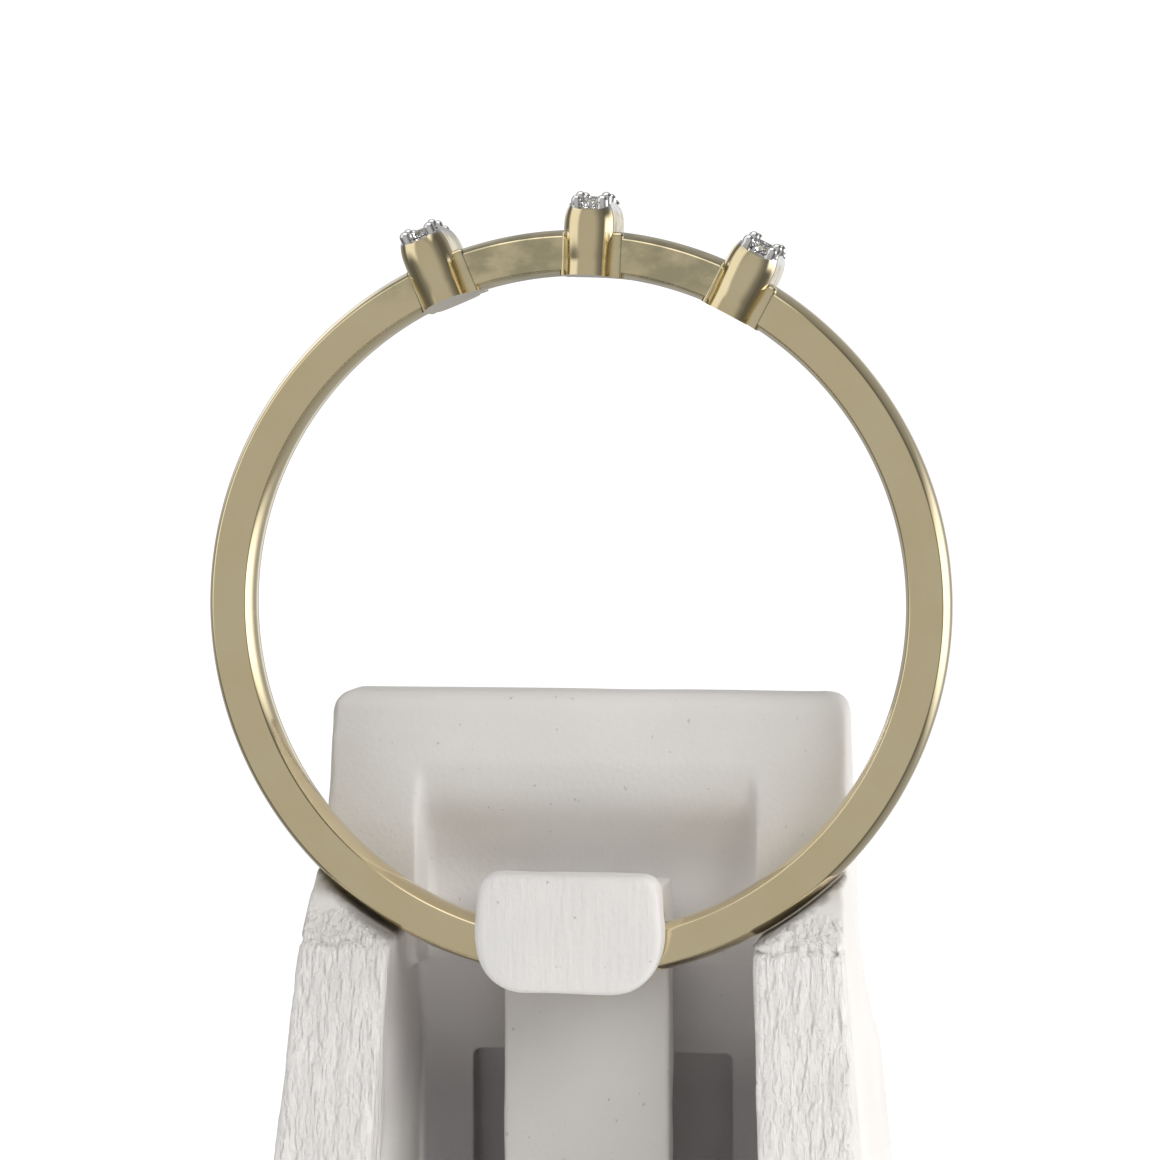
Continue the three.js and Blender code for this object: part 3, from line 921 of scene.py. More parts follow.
@dataclass
class Stations:
    """The three raised stations with their collars, stone seats and claws."""

    place: RingPlace
    band: Band
    roll: float = 2.6
    pitch: float = 25.2
    count: int = 3
    width: float = 1.3
    rise: float = 1.95
    dome: float = 0.3
    dome_steps: int = 40
    dome_cutter_height: float = 1.0
    collar_spread: float = 0.17
    collar_shift: float = 0.07
    collar_overhang: float = 0.03
    collar_below_band: float = 0.06
    collar_round: float = 0.12
    collar_round_steps: int = 4
    stones: int = 3
    stone_diameter: float = 0.78
    stone_pitch: float = 0.86
    stone_sink: float = 0.01
    stone_clearance: float = 0.03
    girdle_share: float = 0.04
    pavilion_share: float = 0.43
    claw_diameter: float = 0.3
    claw_aside: float = 0.34
    claw_rise: float = 0.28
    claw_root: float = 0.35
    claw_lean: float = 0.16
    claw_smallest: float = 0.86
    round_steps: int = 72
    level_steps: int = 5
    claw_steps: int = 20
    crisp_degrees: float = 38.0
    seed: int = 7

    # Shares of the rise, width and length at each level, from the finger side up
    levels: tuple[tuple[float, float, float], ...] = (
        (-0.2, 0.95, 0.945),
        (0.1, 0.945, 0.94),
        (0.15, 0.945, 0.94),
        (0.2, 0.95, 0.943),
        (0.38, 0.985, 0.985),
        (0.6, 1.0, 1.0),
        (0.76, 0.985, 0.985),
        (0.88, 0.91, 0.95),
        (0.95, 0.82, 0.915),
        (1.0, 0.76, 0.89),
        (1.08, 0.74, 0.88),
    )
    smooth_from: int = 3

    @property
    def top_radius(self) -> float:
        """The distance of the stations' tops from the ring's axis."""
        return self.band.inner_radius + self.rise

    @property
    def dome_radius(self) -> float:
        """The radius of the gentle dome along the finger."""
        return ((self.place.length / 2) ** 2 + self.dome**2) / (2 * self.dome)

    @property
    def angles(self) -> list[float]:
        """The stations' angles round the ring, in degrees from the top."""
        return [self.roll + self.pitch * (i - (self.count - 1) / 2) for i in range(self.count)]

    @property
    def stone_places(self) -> list[float]:
        """Where each stone of a row sits along the dome."""
        return [self.stone_pitch * (i - (self.stones - 1) / 2) for i in range(self.stones)]

    @property
    def claw_places(self) -> list[float]:
        """Where the pairs of claws stand along the dome: one between stones, and one inside each end."""
        places = [self.stone_pitch * (i - self.stones / 2) for i in range(self.stones + 1)]
        nearer = self.claw_diameter / 2
        places[0] += nearer
        places[-1] -= nearer
        return places

    def on_dome(self, aside: float, along: float, lift: float) -> Matrix:
        """Return the frame of a point on a station's dome, about the ring's middle.

        Args:
            aside: Distance across the row.
            along: Distance along the row, on the dome.
            lift: Height over the dome.

        Returns:
            The matrix, with its Z pointing out of the metal.
        """
        middle = Matrix.Translation((0.0, 0.0, self.top_radius - self.dome_radius))
        lean = Matrix.Rotation(-along / self.dome_radius, 4, "X")
        return middle @ lean @ Matrix.Translation((aside, 0.0, self.dome_radius + lift))

    def stadium(self, width: float, length: float, height: float) -> list[Vector]:
        """Draw a level outline with straight sides along Y and half-round ends.

        Args:
            width: Its size along X.
            length: Its size along Y.
            height: Its height.

        Returns:
            The outline's points.
        """
        radius = width / 2
        straight = length / 2 - radius
        half = self.round_steps // 2
        points = []
        for i in range(self.round_steps + 2):
            end = 1 if i <= half else -1
            angle = math.pi * (i if i <= half else i - 1) / half
            along = radius * math.sin(angle) + end * straight
            points.append(Vector((radius * math.cos(angle), along, height)))
        return points

    def smoothed_levels(self) -> list[tuple[float, float, float]]:
        """Add levels between the rows above the foot, on a smooth curve through them.

        Returns:
            All levels, from the finger side up.
        """
        rows = [Vector(row) for row in self.levels]
        first, last = self.smooth_from, len(rows) - 1
        result = [tuple(row) for row in rows[:first]]
        for i in range(first, last):
            before, here = rows[max(i - 1, first)], rows[i]
            there, after = rows[i + 1], rows[min(i + 2, last)]
            for step in range(self.level_steps):
                t = step / self.level_steps
                point = here + (there - before) * (0.5 * t)
                point += (2 * before - 5 * here + 4 * there - after) * (0.5 * t**2)
                point += (3 * here - before - 3 * there + after) * (0.5 * t**3)
                result.append(tuple(point))
        result.append(tuple(rows[last]))
        return result

    def body(self) -> bpy.types.Object:
        """Build one station's block with its domed top, about the ring's middle.

        Returns:
            The block, upright.
        """
        foot = self.band.inner_radius
        sections = [
            self.stadium(self.width * width, self.place.length * length, foot + self.rise * rise)
            for rise, width, length in self.smoothed_levels()
        ]
        count = len(sections[0])
        faces: list[Sequence[int]] = [tuple(range(count))[::-1]]
        for level in range(len(sections) - 1):
            for i in range(count):
                a = level * count + i
                b = level * count + (i + 1) % count
                faces.append((a, b, b + count, a + count))
        faces.append(tuple(range((len(sections) - 1) * count, len(sections) * count)))
        piece = link("station", mesh_from("station", [p for s in sections for p in s], faces))
        combine(piece, self.dome_cutter(), Joining.CUT)
        return piece

    def dome_cutter(self) -> bpy.types.Object:
        """Build the block over a station that leaves a domed top.

        Returns:
            The block.
        """
        half = self.place.length
        over = self.top_radius + self.dome_cutter_height
        arc = []
        for i in range(self.dome_steps + 1):
            angle = (half / self.dome_radius) * (1 - 2 * i / self.dome_steps)
            height = self.top_radius - self.dome_radius + self.dome_radius * math.cos(angle)
            arc.append((self.dome_radius * math.sin(angle), height))
        outline = [*arc, (-half, over), (half, over)]
        count = len(outline)
        points = [Vector((x, y, z)) for x in (-self.width, self.width) for y, z in outline]
        faces: list[Sequence[int]] = [tuple(range(count)), tuple(range(count, 2 * count))[::-1]]
        faces += [((i + 1) % count, i, count + i, count + (i + 1) % count) for i in range(count)]
        mesh = mesh_from("dome", points, faces)
        merge_corners(mesh, MERGE_MM, turn_outwards=True)
        return link("dome", mesh)

    def collar(self) -> bpy.types.Object:
        """Build the rounded collar that joins a station to the band.

        Returns:
            The collar, a little to the right of its station's middle.
        """
        aside = self.width / 2 + self.collar_spread
        along = self.band.width / 2 + self.collar_overhang
        inner = self.band.inner_radius
        low = inner * math.cos(math.asin(aside / inner)) - self.band.comfort
        high = self.place.outer_radius - self.collar_below_band
        work = bmesh.new()
        bmesh.ops.create_cube(work, size=1.0)
        bmesh.ops.scale(work, vec=(2 * aside, 2 * along, high - low), verts=work.verts)
        bmesh.ops.translate(work, vec=(self.collar_shift, 0.0, (high + low) / 2), verts=work.verts)
        rounding = {"offset": self.collar_round, "segments": self.collar_round_steps, "profile": 0.5}
        bmesh.ops.bevel(work, geom=work.edges[:], affect="EDGES", **rounding)
        mesh = bpy.data.meshes.new("collar")
        work.to_mesh(mesh)
        work.free()
        return link("collar", mesh)

    def turned_solid(
        self, name: str, profile: Sequence[tuple[float, float]], matrix: Matrix
    ) -> bpy.types.Object:
        """Turn a profile about Z and place it.

        Args:
            name: The object's name.
            profile: (radius, height) from the bottom up, both ends on the axis.
            matrix: Where it goes.

        Returns:
            The solid.
        """
        steps = self.round_steps // 2
        points = [Vector((0.0, 0.0, profile[0][1]))]
        for radius, height in profile[1:-1]:
            for i in range(steps):
                angle = 2 * math.pi * i / steps
                points.append(Vector((radius * math.cos(angle), radius * math.sin(angle), height)))
        points.append(Vector((0.0, 0.0, profile[-1][1])))
        last = len(points) - 1
        faces: list[Sequence[int]] = []
        for i in range(steps):
            j = (i + 1) % steps
            faces.append((0, 1 + j, 1 + i))
            for ring in range(len(profile) - 3):
                a = 1 + ring * steps
                faces.append((a + i, a + j, a + steps + j, a + steps + i))
            top = 1 + (len(profile) - 3) * steps
            faces.append((top + i, top + j, last))
        mesh = mesh_from(name, [matrix @ p for p in points], faces)
        return link(name, mesh)

    def seat(self, along: float) -> bpy.types.Object:
        """Build the room that a stone takes out of its station.

        Args:
            along: The stone's place along the row.

        Returns:
            The room, as a solid.
        """
        radius = self.stone_diameter / 2
        half_girdle = self.stone_diameter * self.girdle_share / 2
        deep = half_girdle + self.stone_diameter * self.pavilion_share
        gap = self.stone_clearance
        over = self.stone_diameter
        profile = (
            (0.0, -deep - 2 * gap),
            (radius + gap, -half_girdle - gap),
            (radius + gap, half_girdle + gap),
            (radius + 2 * gap, over),
            (0.0, over),
        )
        return self.turned_solid("seat", profile, self.on_dome(0.0, along, -self.stone_sink))

    def finger_cutter(self) -> bpy.types.Object:
        """Build the cylinder that clears the finger hole under the stations.

        Returns:
            The cylinder, along Y.
        """
        work = bmesh.new()
        radius, depth = self.band.inner_radius, self.place.length * 2
        bmesh.ops.create_cone(
            work, cap_ends=True, segments=self.band.steps, radius1=radius, radius2=radius, depth=depth
        )
        bmesh.ops.rotate(work, matrix=Matrix.Rotation(math.pi / 2, 3, "X"), verts=work.verts)
        mesh = bpy.data.meshes.new("finger_hole")
        work.to_mesh(mesh)
        work.free()
        return link("finger_hole", mesh)

    def build(self) -> bpy.types.Object:
        """Build one station and copy it to each place.

        Returns:
            The stations as one mesh, in millimetres.
        """
        piece = self.body()
        combine(piece, self.collar(), Joining.ADD)
        for along in self.stone_places:
            combine(piece, self.seat(along), Joining.CUT)
        combine(piece, self.finger_cutter(), Joining.CUT)
        one = piece.data
        whole = bmesh.new()
        for angle in self.angles:
            copy = one.copy()
            copy.transform(self.place.turned(angle))
            whole.from_mesh(copy)
            bpy.data.meshes.remove(copy)
        bpy.data.objects.remove(piece)
        mesh = bpy.data.meshes.new("ring_stations")
        whole.to_mesh(mesh)
        whole.free()
        smooth_faces(mesh, self.crisp_degrees)
        return link("ring_stations", mesh)

    def claw_recipe(self, material: bpy.types.Material) -> NodeRecipe:
        """Return the tree that stands a round-topped claw on each point.

        Args:
            material: What the claws are made of.

        Returns:
            The tree, whose geometry input is the points, each with its outward way as an attribute.
        """
        recipe = NodeRecipe(
            "setting_claws",
            {
                "Claw radius": ("NodeSocketFloat", self.claw_diameter / 2),
                "Root": ("NodeSocketFloat", -self.claw_root),
                "Segments": ("NodeSocketInt", self.claw_steps),
                "Smallest share": ("NodeSocketFloat", self.claw_smallest),
                "Lean": ("NodeSocketFloat", self.claw_lean),
                "Seed": ("NodeSocketInt", self.seed),
                "Material": ("NodeSocketMaterial", material),
            },
        )
        start = recipe.start.outputs
        ball = recipe.node(
            "GeometryNodeMeshUVSphere",
            {"Segments": start["Segments"], "Rings": self.claw_steps // 2, "Radius": start["Claw radius"]},
        )
        spot = recipe.node("ShaderNodeSeparateXYZ", {0: recipe.node("GeometryNodeInputPosition").outputs[0]})
        below_middle = {0: spot.outputs["Z"], 1: -self.claw_diameter / 100}
        lower = recipe.node("FunctionNodeCompare", below_middle, {"operation": "LESS_THAN"})
        down = recipe.node("ShaderNodeCombineXYZ", {"Z": start["Root"]})
        long = recipe.node(
            "GeometryNodeSetPosition",
            {"Geometry": ball.outputs[0], "Selection": lower.outputs[0], "Offset": down.outputs[0]},
        )
        spread = recipe.node(
            "FunctionNodeRandomValue",
            {2: start["Smallest share"], 3: 1.0, "Seed": start["Seed"]},
            {"data_type": "FLOAT"},
        )
        lean_high = recipe.node("ShaderNodeCombineXYZ", {"X": start["Lean"], "Y": start["Lean"]})
        reverse = {0: lean_high.outputs[0], "Scale": -1.0}
        lean_low = recipe.node("ShaderNodeVectorMath", reverse, {"operation": "SCALE"})
        lean = recipe.node(
            "FunctionNodeRandomValue",
            {0: lean_low.outputs[0], 1: lean_high.outputs[0], "Seed": start["Seed"]},
            {"data_type": "FLOAT_VECTOR"},
        )
        outward = recipe.node(
            "GeometryNodeInputNamedAttribute", {"Name": OUTWARD}, {"data_type": "FLOAT_VECTOR"}
        )
        leaning = {0: outward.outputs[0], 1: lean.outputs[0]}
        way = recipe.node("ShaderNodeVectorMath", leaning, {"operation": "ADD"})
        turn = recipe.node("FunctionNodeAlignRotationToVector", {"Vector": way.outputs[0]}, {"axis": "Z"})
        smooth = recipe.node("GeometryNodeSetShadeSmooth", {0: long.outputs[0]})
        inputs = {
            "Points": start["Geometry"],
            "Instance": smooth.outputs[0],
            "Rotation": turn.outputs[0],
            "Scale": spread.outputs[1],
        }
        recipe.finish(recipe.node("GeometryNodeInstanceOnPoints", inputs).outputs[0])
        return recipe

    def build_claws(self, material: bpy.types.Material) -> bpy.types.Object:
        """Build the claws that hold the stones.

        Args:
            material: What they are made of.

        Returns:
            The claws as one mesh, in millimetres.
        """
        points, ways = [], []
        lift = self.claw_rise - self.claw_diameter / 2
        for angle in self.angles:
            for along in self.claw_places:
                for side in Side:
                    local = self.on_dome(side.value * self.claw_aside, along, lift)
                    matrix = self.place.turned(angle) @ local
                    points.append(matrix.translation)
                    ways.extend(matrix.col[2].xyz)
        mesh = mesh_from("ring_claws", points, [])
        mesh.attributes.new(OUTWARD, "FLOAT_VECTOR", "POINT").data.foreach_set("vector", ways)
        return self.claw_recipe(material).run_on(link("ring_claws", mesh))


@dataclass
class PaintRelief:
    """The uneven skin that thick paint leaves: soft waves, strokes, and a crack along the crease."""

    wave: float = 0.03
    wave_scale: float = 0.35
    stroke: float = 0.0
    stroke_scale: float = 2.4
    stroke_stretch: float = 0.35
    stroke_top: float = 0.0
    stroke_front: float = 0.0
    stroke_fade: float = 0.35
    crack: float = 0.0
    crack_half_width: float = 0.13
    crack_wander: float = 0.22
    crack_wander_scale: float = 0.9
    crack_even: float = 0.75
    crack_uneven: float = 0.8

    # How the strokes' and the crack's noise is layered: fall, spacing and number of the layers
    stroke_layers: tuple[float, float, int] = (0.8, 2.0, 3)
    crack_layers: tuple[float, float, int] = (0.8, 2.2, 4)

    def strokes_at(self, spot: Vector) -> float:
        """Work out the brush strokes at a point of the skin.

        Args:
            spot: The point, in millimetres.

        Returns:
            Their height.
        """
        before = held((self.stroke_front - spot.y) / self.stroke_fade)
        below = held((self.stroke_top - spot.z) / self.stroke_fade)
        scale = self.stroke_scale
        drawn = Vector((spot.x * scale, spot.y * scale, spot.z * self.stroke_stretch))
        return before * below * self.stroke * noise.fractal(drawn, *self.stroke_layers)

    def crack_at(self, spot: Vector) -> float:
        """Work out how open the crack is at a point of the skin.

        Args:
            spot: The point, in millimetres.

        Returns:
            0 where it is closed, up to 1 in its middle.
        """
        if not self.crack or spot.y > self.stroke_front:
            return 0.0
        drawn = Vector((spot.x * self.crack_wander_scale, 0.0, 0.0))
        wander = noise.fractal(drawn, *self.crack_layers)
        share = 1.0 - abs(spot.z - self.stroke_top - self.crack_wander * wander) / self.crack_half_width
        uneven = self.crack_even + self.crack_uneven * noise.noise(spot * self.stroke_scale)
        return held(share * uneven)

    def height_at(self, spot: Vector) -> float:
        """Return the skin's height over the plain form at a point."""
        waves = self.wave * noise.noise(spot * self.wave_scale)
        return waves + self.strokes_at(spot) - self.crack * self.crack_at(spot)


@dataclass
class PaintedShell:
    """A moulded piece of the stand: its CAD solid with soft painted edges and an uneven skin."""

    node: str
    name: str
    voxel: float
    smoothing: int
    relief: PaintRelief
    kept_share: float = 1.0
    soften_share: float = 0.5
    inset: float = 1e-5

    def merged_copy(self) -> bpy.types.Object:
        """Copy the CAD node's mesh.

        Returns:
            The copy in millimetres, with its doubled corners merged.
        """
        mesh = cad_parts[self.node].data.copy()
        mesh.transform(Matrix.Scale(1 / METRES_PER_MM, 4))
        mesh.materials.clear()
        for layer in list(mesh.uv_layers):
            mesh.uv_layers.remove(layer)
        merge_corners(mesh, CAD_MERGE_MM)
        return link(self.name, mesh)

    def soften(self, piece: bpy.types.Object) -> None:
        """Give a piece even faces and soft edges.

        Args:
            piece: The piece.
        """
        remesh = piece.modifiers.new("even_faces", "REMESH")
        remesh.mode = "VOXEL"
        remesh.voxel_size = self.voxel
        remesh.use_smooth_shade = True
        soften = piece.modifiers.new("soft_edges", "SMOOTH")
        soften.factor = self.soften_share
        soften.iterations = self.smoothing
        bpy.context.view_layer.update()
        apply_modifiers(piece)

    def add_relief(self, piece: bpy.types.Object) -> None:
        """Raise and sink a piece's skin, and keep it inside the CAD node's box.

        Args:
            piece: The piece.
        """
        skin = [(vertex.co.copy(), vertex.normal.copy()) for vertex in piece.data.vertices]
        moved = [spot + normal * self.relief.height_at(spot) for spot, normal in skin]
        low, high = (corner / METRES_PER_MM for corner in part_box(self.node))
        edge = Vector((self.inset, self.inset, self.inset))
        low, high = low + edge, high - edge
        inside = [max(low[i], min(high[i], spot[i])) for spot in moved for i in range(len(spot))]
        piece.data.vertices.foreach_set("co", inside)
        piece.data.update()

    def build(self) -> bpy.types.Object:
        """Build the shell.

        Returns:
            The shell in millimetres, which carries how open the crack is at each corner.
        """
        piece = self.merged_copy()
        self.soften(piece)
        self.add_relief(piece)
        if self.kept_share < 1.0:
            thin = piece.modifiers.new("fewer_faces", "DECIMATE")
            thin.ratio = self.kept_share
            bpy.context.view_layer.update()
            apply_modifiers(piece)
        shares = [self.relief.crack_at(vertex.co) for vertex in piece.data.vertices]
        piece.data.attributes.new(CRACK, "FLOAT", "POINT").data.foreach_set("value", shares)
        smooth_faces(piece.data)
        return piece


@dataclass(frozen=True)
class Card:
    """A white card that the metal mirrors.

    Its angles are in degrees, to the right of the front and up. Its half sizes are shares of its distance.
    """

    azimuth: float
    elevation: float
    half_width: float
    half_height: float
    glow: float


@dataclass(frozen=True)
class Lamp:
    """A square lamp that lights the paint and isn't seen or mirrored.

    Its angles are in degrees, to the right of the front and up, and its distance and side in millimetres.
    """

    name: str
    azimuth: float
    elevation: float
    distance: float
    side: float
    glow: float


@dataclass
class Studio:
    """The floor, the light and the camera."""

    place: RingPlace
    photo_side: int = 1160
    azimuth: float = 8.5
    elevation: float = 2.5
    distance: float = 110.0
    pixels_per_mm: float = 37.98
    ring_pixel: tuple[float, float] = (577.5, 605.2)
    sensor_mm: float = 36.0
    seen_from_m: float = 0.001
    seen_to_m: float = 10.0
    floor_radius: float = 66.0
    floor_back: float = 30.0
    floor_steps: int = 96
    backdrop_glow: float = 1.1

    # What the metal mirrors: brightness of the tent, from the front (-1) to the back (1)
    tent: tuple[tuple[float, float], ...] = (
        (-1.0, 0.49),
        (-0.82, 0.48),
        (-0.5, 0.23),
        (-0.1, 0.12),
        (0.4, 0.14),
        (0.75, 0.32),
        (0.92, 0.4),
    )

    # What it mirrors right behind the ring: brightness of the backdrop, from the left (-1) to the right (1)
    backdrop: tuple[tuple[float, float], ...] = (
        (-1.0, 0.5),
        (-0.2, 0.36),
        (-0.03, 0.42),
        (0.06, 0.88),
        (0.17, 0.9),
        (0.24, 0.42),
        (1.0, 0.35),
    )
    backdrop_from: float = 0.94
    backdrop_full: float = 0.985

    cards: tuple[Card, ...] = (
        Card(0.0, 84.0, 0.48, 0.46, 1.5),
        Card(118.0, -2.0, 0.5, 0.22, 1.9),
        Card(-70.0, 24.0, 0.44, 0.5, 0.98),
        Card(-148.0, 16.0, 0.2, 0.14, 1.2),
    )
    card_fade: float = 0.13
    card_ahead_fade: float = 0.05

    # What lights the paint: brightness of the tent, from straight down (-1) to straight up (1)
    dome: tuple[tuple[float, float], ...] = (
        (-1.0, 0.16),
        (-0.2, 0.2),
        (0.1, 0.3),
        (0.5, 0.38),
        (1.0, 0.44),
    )

    lamps: tuple[Lamp, ...] = (
        Lamp("key_softbox", 50.0, 27.0, 120.0, 66.0, 5.2),
        Lamp("right_rim", 78.0, 10.0, 90.0, 30.0, 8.0),
        Lamp("left_fill", -62.0, 20.0, 240.0, 120.0, 2.2),
    )

    @staticmethod
    def way_to(azimuth: float, elevation: float) -> Vector:
        """Return the way to a place seen from the ring, by degrees right of the front and degrees up."""
        turn, lift = math.radians(azimuth), math.radians(elevation)
        return Vector((math.sin(turn) * math.cos(lift), -math.cos(turn) * math.cos(lift), math.sin(lift)))

    @staticmethod
    def hang(made: bpy.types.Object, spot: Vector, way: Vector) -> None:
        """Put a camera or lamp into the scene.

        Args:
            made: The camera or lamp.
            spot: Its place, in millimetres.
            way: The way from what it looks at to itself.
        """
        bpy.context.scene.collection.objects.link(made)
        made.location = spot * METRES_PER_MM
        made.rotation_mode = "QUATERNION"
        made.rotation_quaternion = (-way).to_track_quat("-Z", "Y")

    def camera(self) -> None:
        """Put the camera at the photograph's angle, with the ring's middle on its pixel."""
        back = self.way_to(self.azimuth, self.elevation)
        right = self.way_to(self.azimuth + 90.0, 0.0)
        up = back.cross(right)
        middle = self.photo_side / 2
        aside = (self.ring_pixel[0] - middle) / self.pixels_per_mm
        above = (middle - self.ring_pixel[1]) / self.pixels_per_mm
        target = self.place.axis - right * aside - up * above
        data = bpy.data.cameras.new("photo_camera")
        data.sensor_width = data.sensor_height = self.sensor_mm
        data.lens = data.sensor_width * self.pixels_per_mm * self.distance / self.photo_side
        data.clip_start = self.seen_from_m
        data.clip_end = self.seen_to_m
        made = bpy.data.objects.new("photo_camera", data)
        self.hang(made, target + back * self.distance, back)
        bpy.context.scene.camera = made

    def floor(self) -> None:
        """Build the round floor."""
        turns = [2 * math.pi * i / self.floor_steps for i in range(self.floor_steps)]
        radius = self.floor_radius * METRES_PER_MM
        back = self.floor_back * METRES_PER_MM
        points = [Vector((radius * math.cos(a), back + radius * math.sin(a), 0.0)) for a in turns]
        made = link("floor", mesh_from("floor", points, [tuple(range(self.floor_steps))]))
        made.data.materials.append(FloorPaper().material())
        made.visible_glossy = False

    def light(self, lamp: Lamp) -> None:
        """Hang a lamp that looks at the ring.

        Args:
            lamp: The lamp.
        """
        way = self.way_to(lamp.azimuth, lamp.elevation)
        data = bpy.data.lights.new(lamp.name, "AREA")
        data.shape = "SQUARE"
        data.size = lamp.side * METRES_PER_MM
        data.energy = lamp.glow * math.pi * data.size**2
        made = bpy.data.objects.new(lamp.name, data)
        self.hang(made, self.place.axis + way * lamp.distance, way)
        made.visible_glossy = False
        made.visible_camera = False

    @staticmethod
    def ramp(tree: ShaderTree, along: Value, steps: Sequence[tuple[float, float]]) -> Value:
        """Return a brightness that changes along one way of the tent.

        Args:
            tree: The world's tree.
            along: How far a ray goes that way, from -1 to 1.
            steps: Place and brightness of each stop.

        Returns:
            The brightness.
        """
        stops = [((1.0 + at) / 2, (grey, grey, grey, 1.0)) for at, grey in steps]
        shades = tree.node("ShaderNodeValToRGB", {"stops": stops}, {0: along * 0.5 + 0.5})
        return Value(tree, tree.node("ShaderNodeRGBToBW", None, {0: shades.outputs[0]}).outputs[0])

    def meets(self, tree: ShaderTree, way: bpy.types.NodeSocket, card: Card) -> Value:
        """Work out how much of a ray meets a card.

        Args:
            tree: The world's tree.
            way: The ray's way.
            card: The card.

        Returns:
            The share, from 0 to 1.
        """
        out = self.way_to(card.azimuth, card.elevation)
        right = self.way_to(card.azimuth + 90.0, 0.0)
        dot = {"operation": "DOT_PRODUCT"}
        ahead, aside, above = (
            Value(tree, tree.node("ShaderNodeVectorMath", dot, {0: way, 1: axis}).outputs["Value"])
            for axis in (out, right, out.cross(right))
        )
        fade = self.card_fade
        wide = tree.math("ABSOLUTE", aside).between(card.half_width + fade, card.half_width - fade)
        high = tree.math("ABSOLUTE", above).between(card.half_height + fade, card.half_height - fade)
        return ahead.between(0.0, self.card_ahead_fade) * wide * high

    def mirrored(self, tree: ShaderTree, way: bpy.types.NodeSocket, across: Value, depth: Value) -> Value:
        """Work out how bright the tent and its cards are to the metal.

        Args:
            tree: The world's tree.
            way: A ray's way.
            across: Its X.
            depth: Its Y.

        Returns:
            The brightness.
        """
        behind = depth.between(self.backdrop_from, self.backdrop_full)
        tent = self.ramp(tree, depth, self.tent)
        glow = tent * (1.0 - behind) + self.ramp(tree, across, self.backdrop) * behind
        for card in self.cards:
            share = self.meets(tree, way, card)
            glow = glow * (1.0 - share) + share * card.glow
        return glow

    def surroundings(self) -> None:
        """Make the white tent round the ring; the camera itself sees plain white."""
        world = bpy.data.worlds.new("white_tent")
        bpy.context.scene.world = world
        tree = ShaderTree(world)
        way = tree.node("ShaderNodeTexCoord").outputs["Generated"]
        across, depth, up = tree.split(way)
        glows = (self.mirrored(tree, way, across, depth), self.ramp(tree, up, self.dome), self.backdrop_glow)
        shown, lighting, seen = (
            tree.node("ShaderNodeBackground", None, {0: WHITE, 1: glow}).outputs[0] for glow in glows
        )
        rays = tree.node("ShaderNodeLightPath").outputs
        lit = tree.node("ShaderNodeMixShader", None, {0: rays["Is Diffuse Ray"], 1: shown, 2: lighting})
        to_camera = {0: rays["Is Camera Ray"], 1: lit.outputs[0], 2: seen}
        whole = tree.node("ShaderNodeMixShader", None, to_camera)
        tree.finish(whole.outputs[0], "ShaderNodeOutputWorld")

    def build(self) -> None:
        """Build the studio and its colour handling."""
        self.camera()
        self.floor()
        self.surroundings()
        for lamp in self.lamps:
            self.light(lamp)
        scene = bpy.context.scene
        scene.view_settings.view_transform = "Standard"
        scene.view_settings.look = "None"


@dataclass
class Ring:
    """The gold ring with its stones."""

    place: RingPlace
    stone_prefix: str = "stone_"

    def build(self) -> None:
        """Build the ring's metal and dress its stones."""
        gold = PolishedGold().material(self.place.axis)
        band = Band(self.place)
        stations = Stations(self.place, band)
        settle(band.build(gold), gold, Slot.GOLD, "ring_metal")
        settle(stations.build(), gold, Slot.GOLD, "ring_metal")
        settle(stations.build_claws(gold), gold, Slot.GOLD, "ring_metal")
        diamond = CutDiamond().material()
        for name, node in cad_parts.items():
            if name.startswith(self.stone_prefix):
                node.data.materials.clear()
                node.data.materials.append(diamond)
                log.info("%s: cut diamond", name)


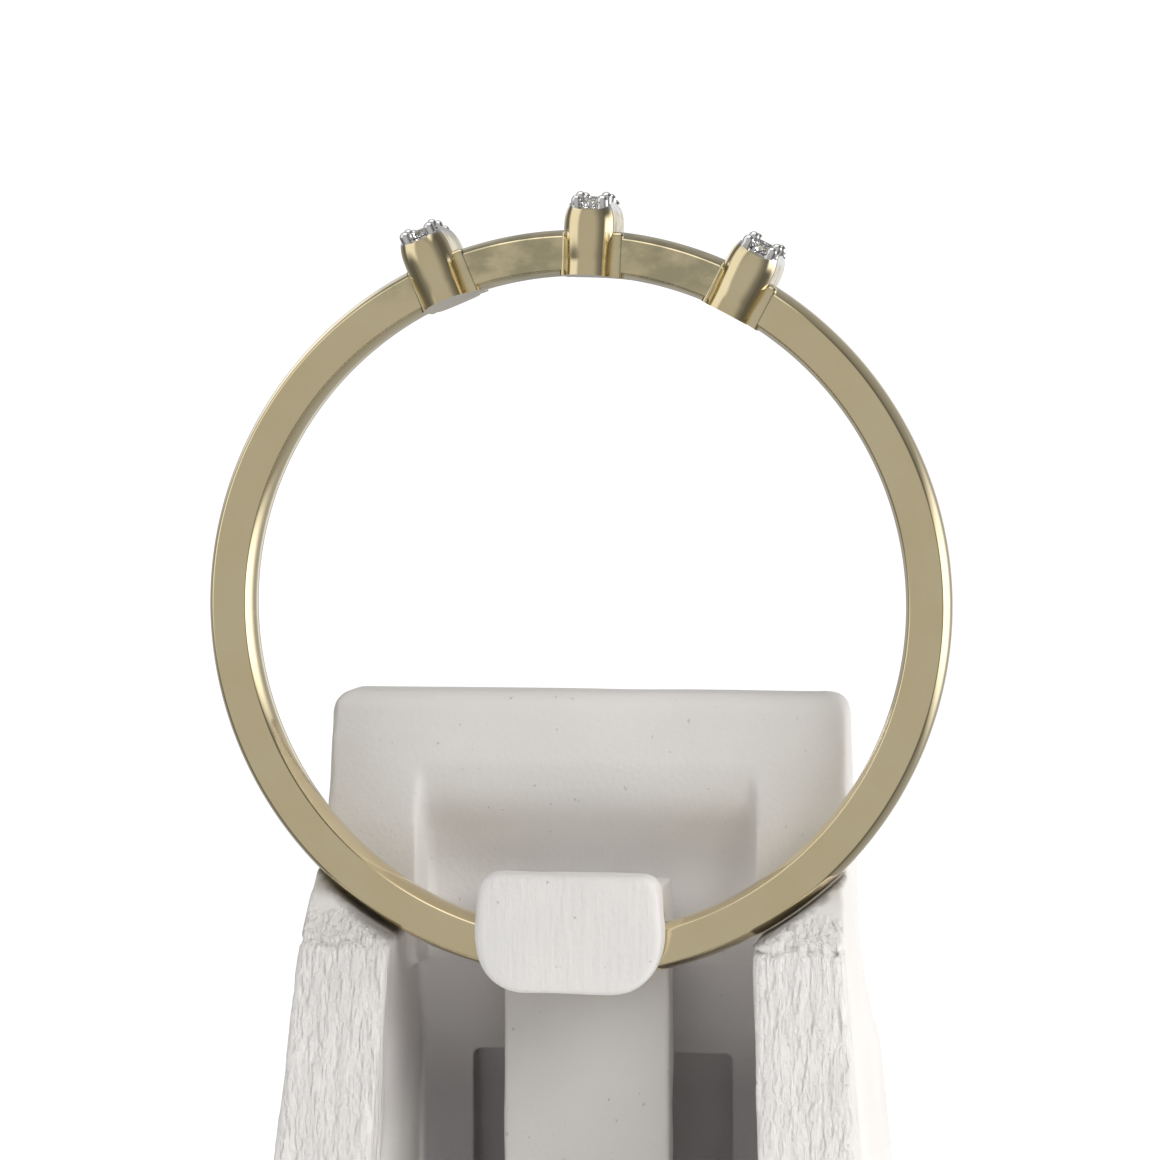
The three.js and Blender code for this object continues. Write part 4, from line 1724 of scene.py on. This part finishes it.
@dataclass
class Stand:
    """The painted stand and its tongue."""

    place: RingPlace
    crease: float = 14.3
    front_before_axis: float = 1.0

    @property
    def front(self) -> float:
        """The Y before which the arms' and the flap's fronts lie."""
        return self.place.axis.y - self.front_before_axis

    def body_paint(self) -> WhitePaint:
        """Mix the body's paint, with its strokes, the painted shade in its hollow, the painted light on its
        ramp and the painted contact shadow under the ring.

        Returns:
            The paint.
        """
        axis, radius = self.place.axis, self.place.outer_radius
        return WhitePaint(
            "stand_paint",
            stroke_mm=0.07,
            stroke_top=self.crease + 3.0,
            stroke_front=self.front,
            stroke_from=4.3,
            # Painted shade in the hollow between the arms
            hollow_half=5.0,
            hollow_front=self.front - 0.6,
            # Painted light on the recess's ramp, and the painted contact shadow under the ring
            ramp_light_heights=(16.5, 18.2),
            ramp_light_half=4.6,
            contact_shadow_middle=(axis.x, axis.z),
            contact_shadow_radii=(radius + 0.06, radius + 0.34),
            contact_shadow_back=self.front + 1.9,
        )

    def tongue_paint(self) -> WhitePaint:
        """Mix the tongue's paint: finely brushed, a little greyer than the body's as painted shade, and
        darker in its hollow as painted shade.

        Returns:
            The paint.
        """
        return WhitePaint(
            "tongue_paint",
            # Painted shade: the tongue's colour is greyer than the body's, and its stem in the hollow darker
            # still
            colour=(0.72, 0.702, 0.68, 1.0),
            hollow_shade_colour=(0.66, 0.638, 0.615, 1.0),
            deep_colour=(0.66, 0.638, 0.615, 1.0),
            stroke_mm=0.009,
            stroke_top=self.crease + 2.5,
            stroke_front=self.front,
            stroke_fade=0.2,
            hollow_half=4.0,
            hollow_front=self.front + 1.2,
        )

    def build(self) -> None:
        """Build the stand's body and its tongue."""
        brushed = PaintRelief(
            stroke=0.035, stroke_scale=3.2, stroke_top=self.crease, stroke_front=self.front, crack=0.15
        )
        smooth = PaintRelief(wave_scale=0.8)
        body = PaintedShell("stand_body", "painted_body", 0.1, 3, brushed, kept_share=0.6)
        tongue = PaintedShell("spring_tongue", "painted_tongue", 0.07, 18, smooth)
        settle(body.build(), self.body_paint().material(), Slot.STAND, "stand_body")
        settle(tongue.build(), self.tongue_paint().material(), Slot.TONGUE, "spring_tongue")


def main() -> None:
    """Build the object and its studio."""
    logging.basicConfig(level=logging.INFO, format="%(name)s: %(message)s")
    place = RingPlace()
    Ring(place).build()
    Stand(place).build()
    Studio(place).build()


if __name__ == "__main__":
    main()
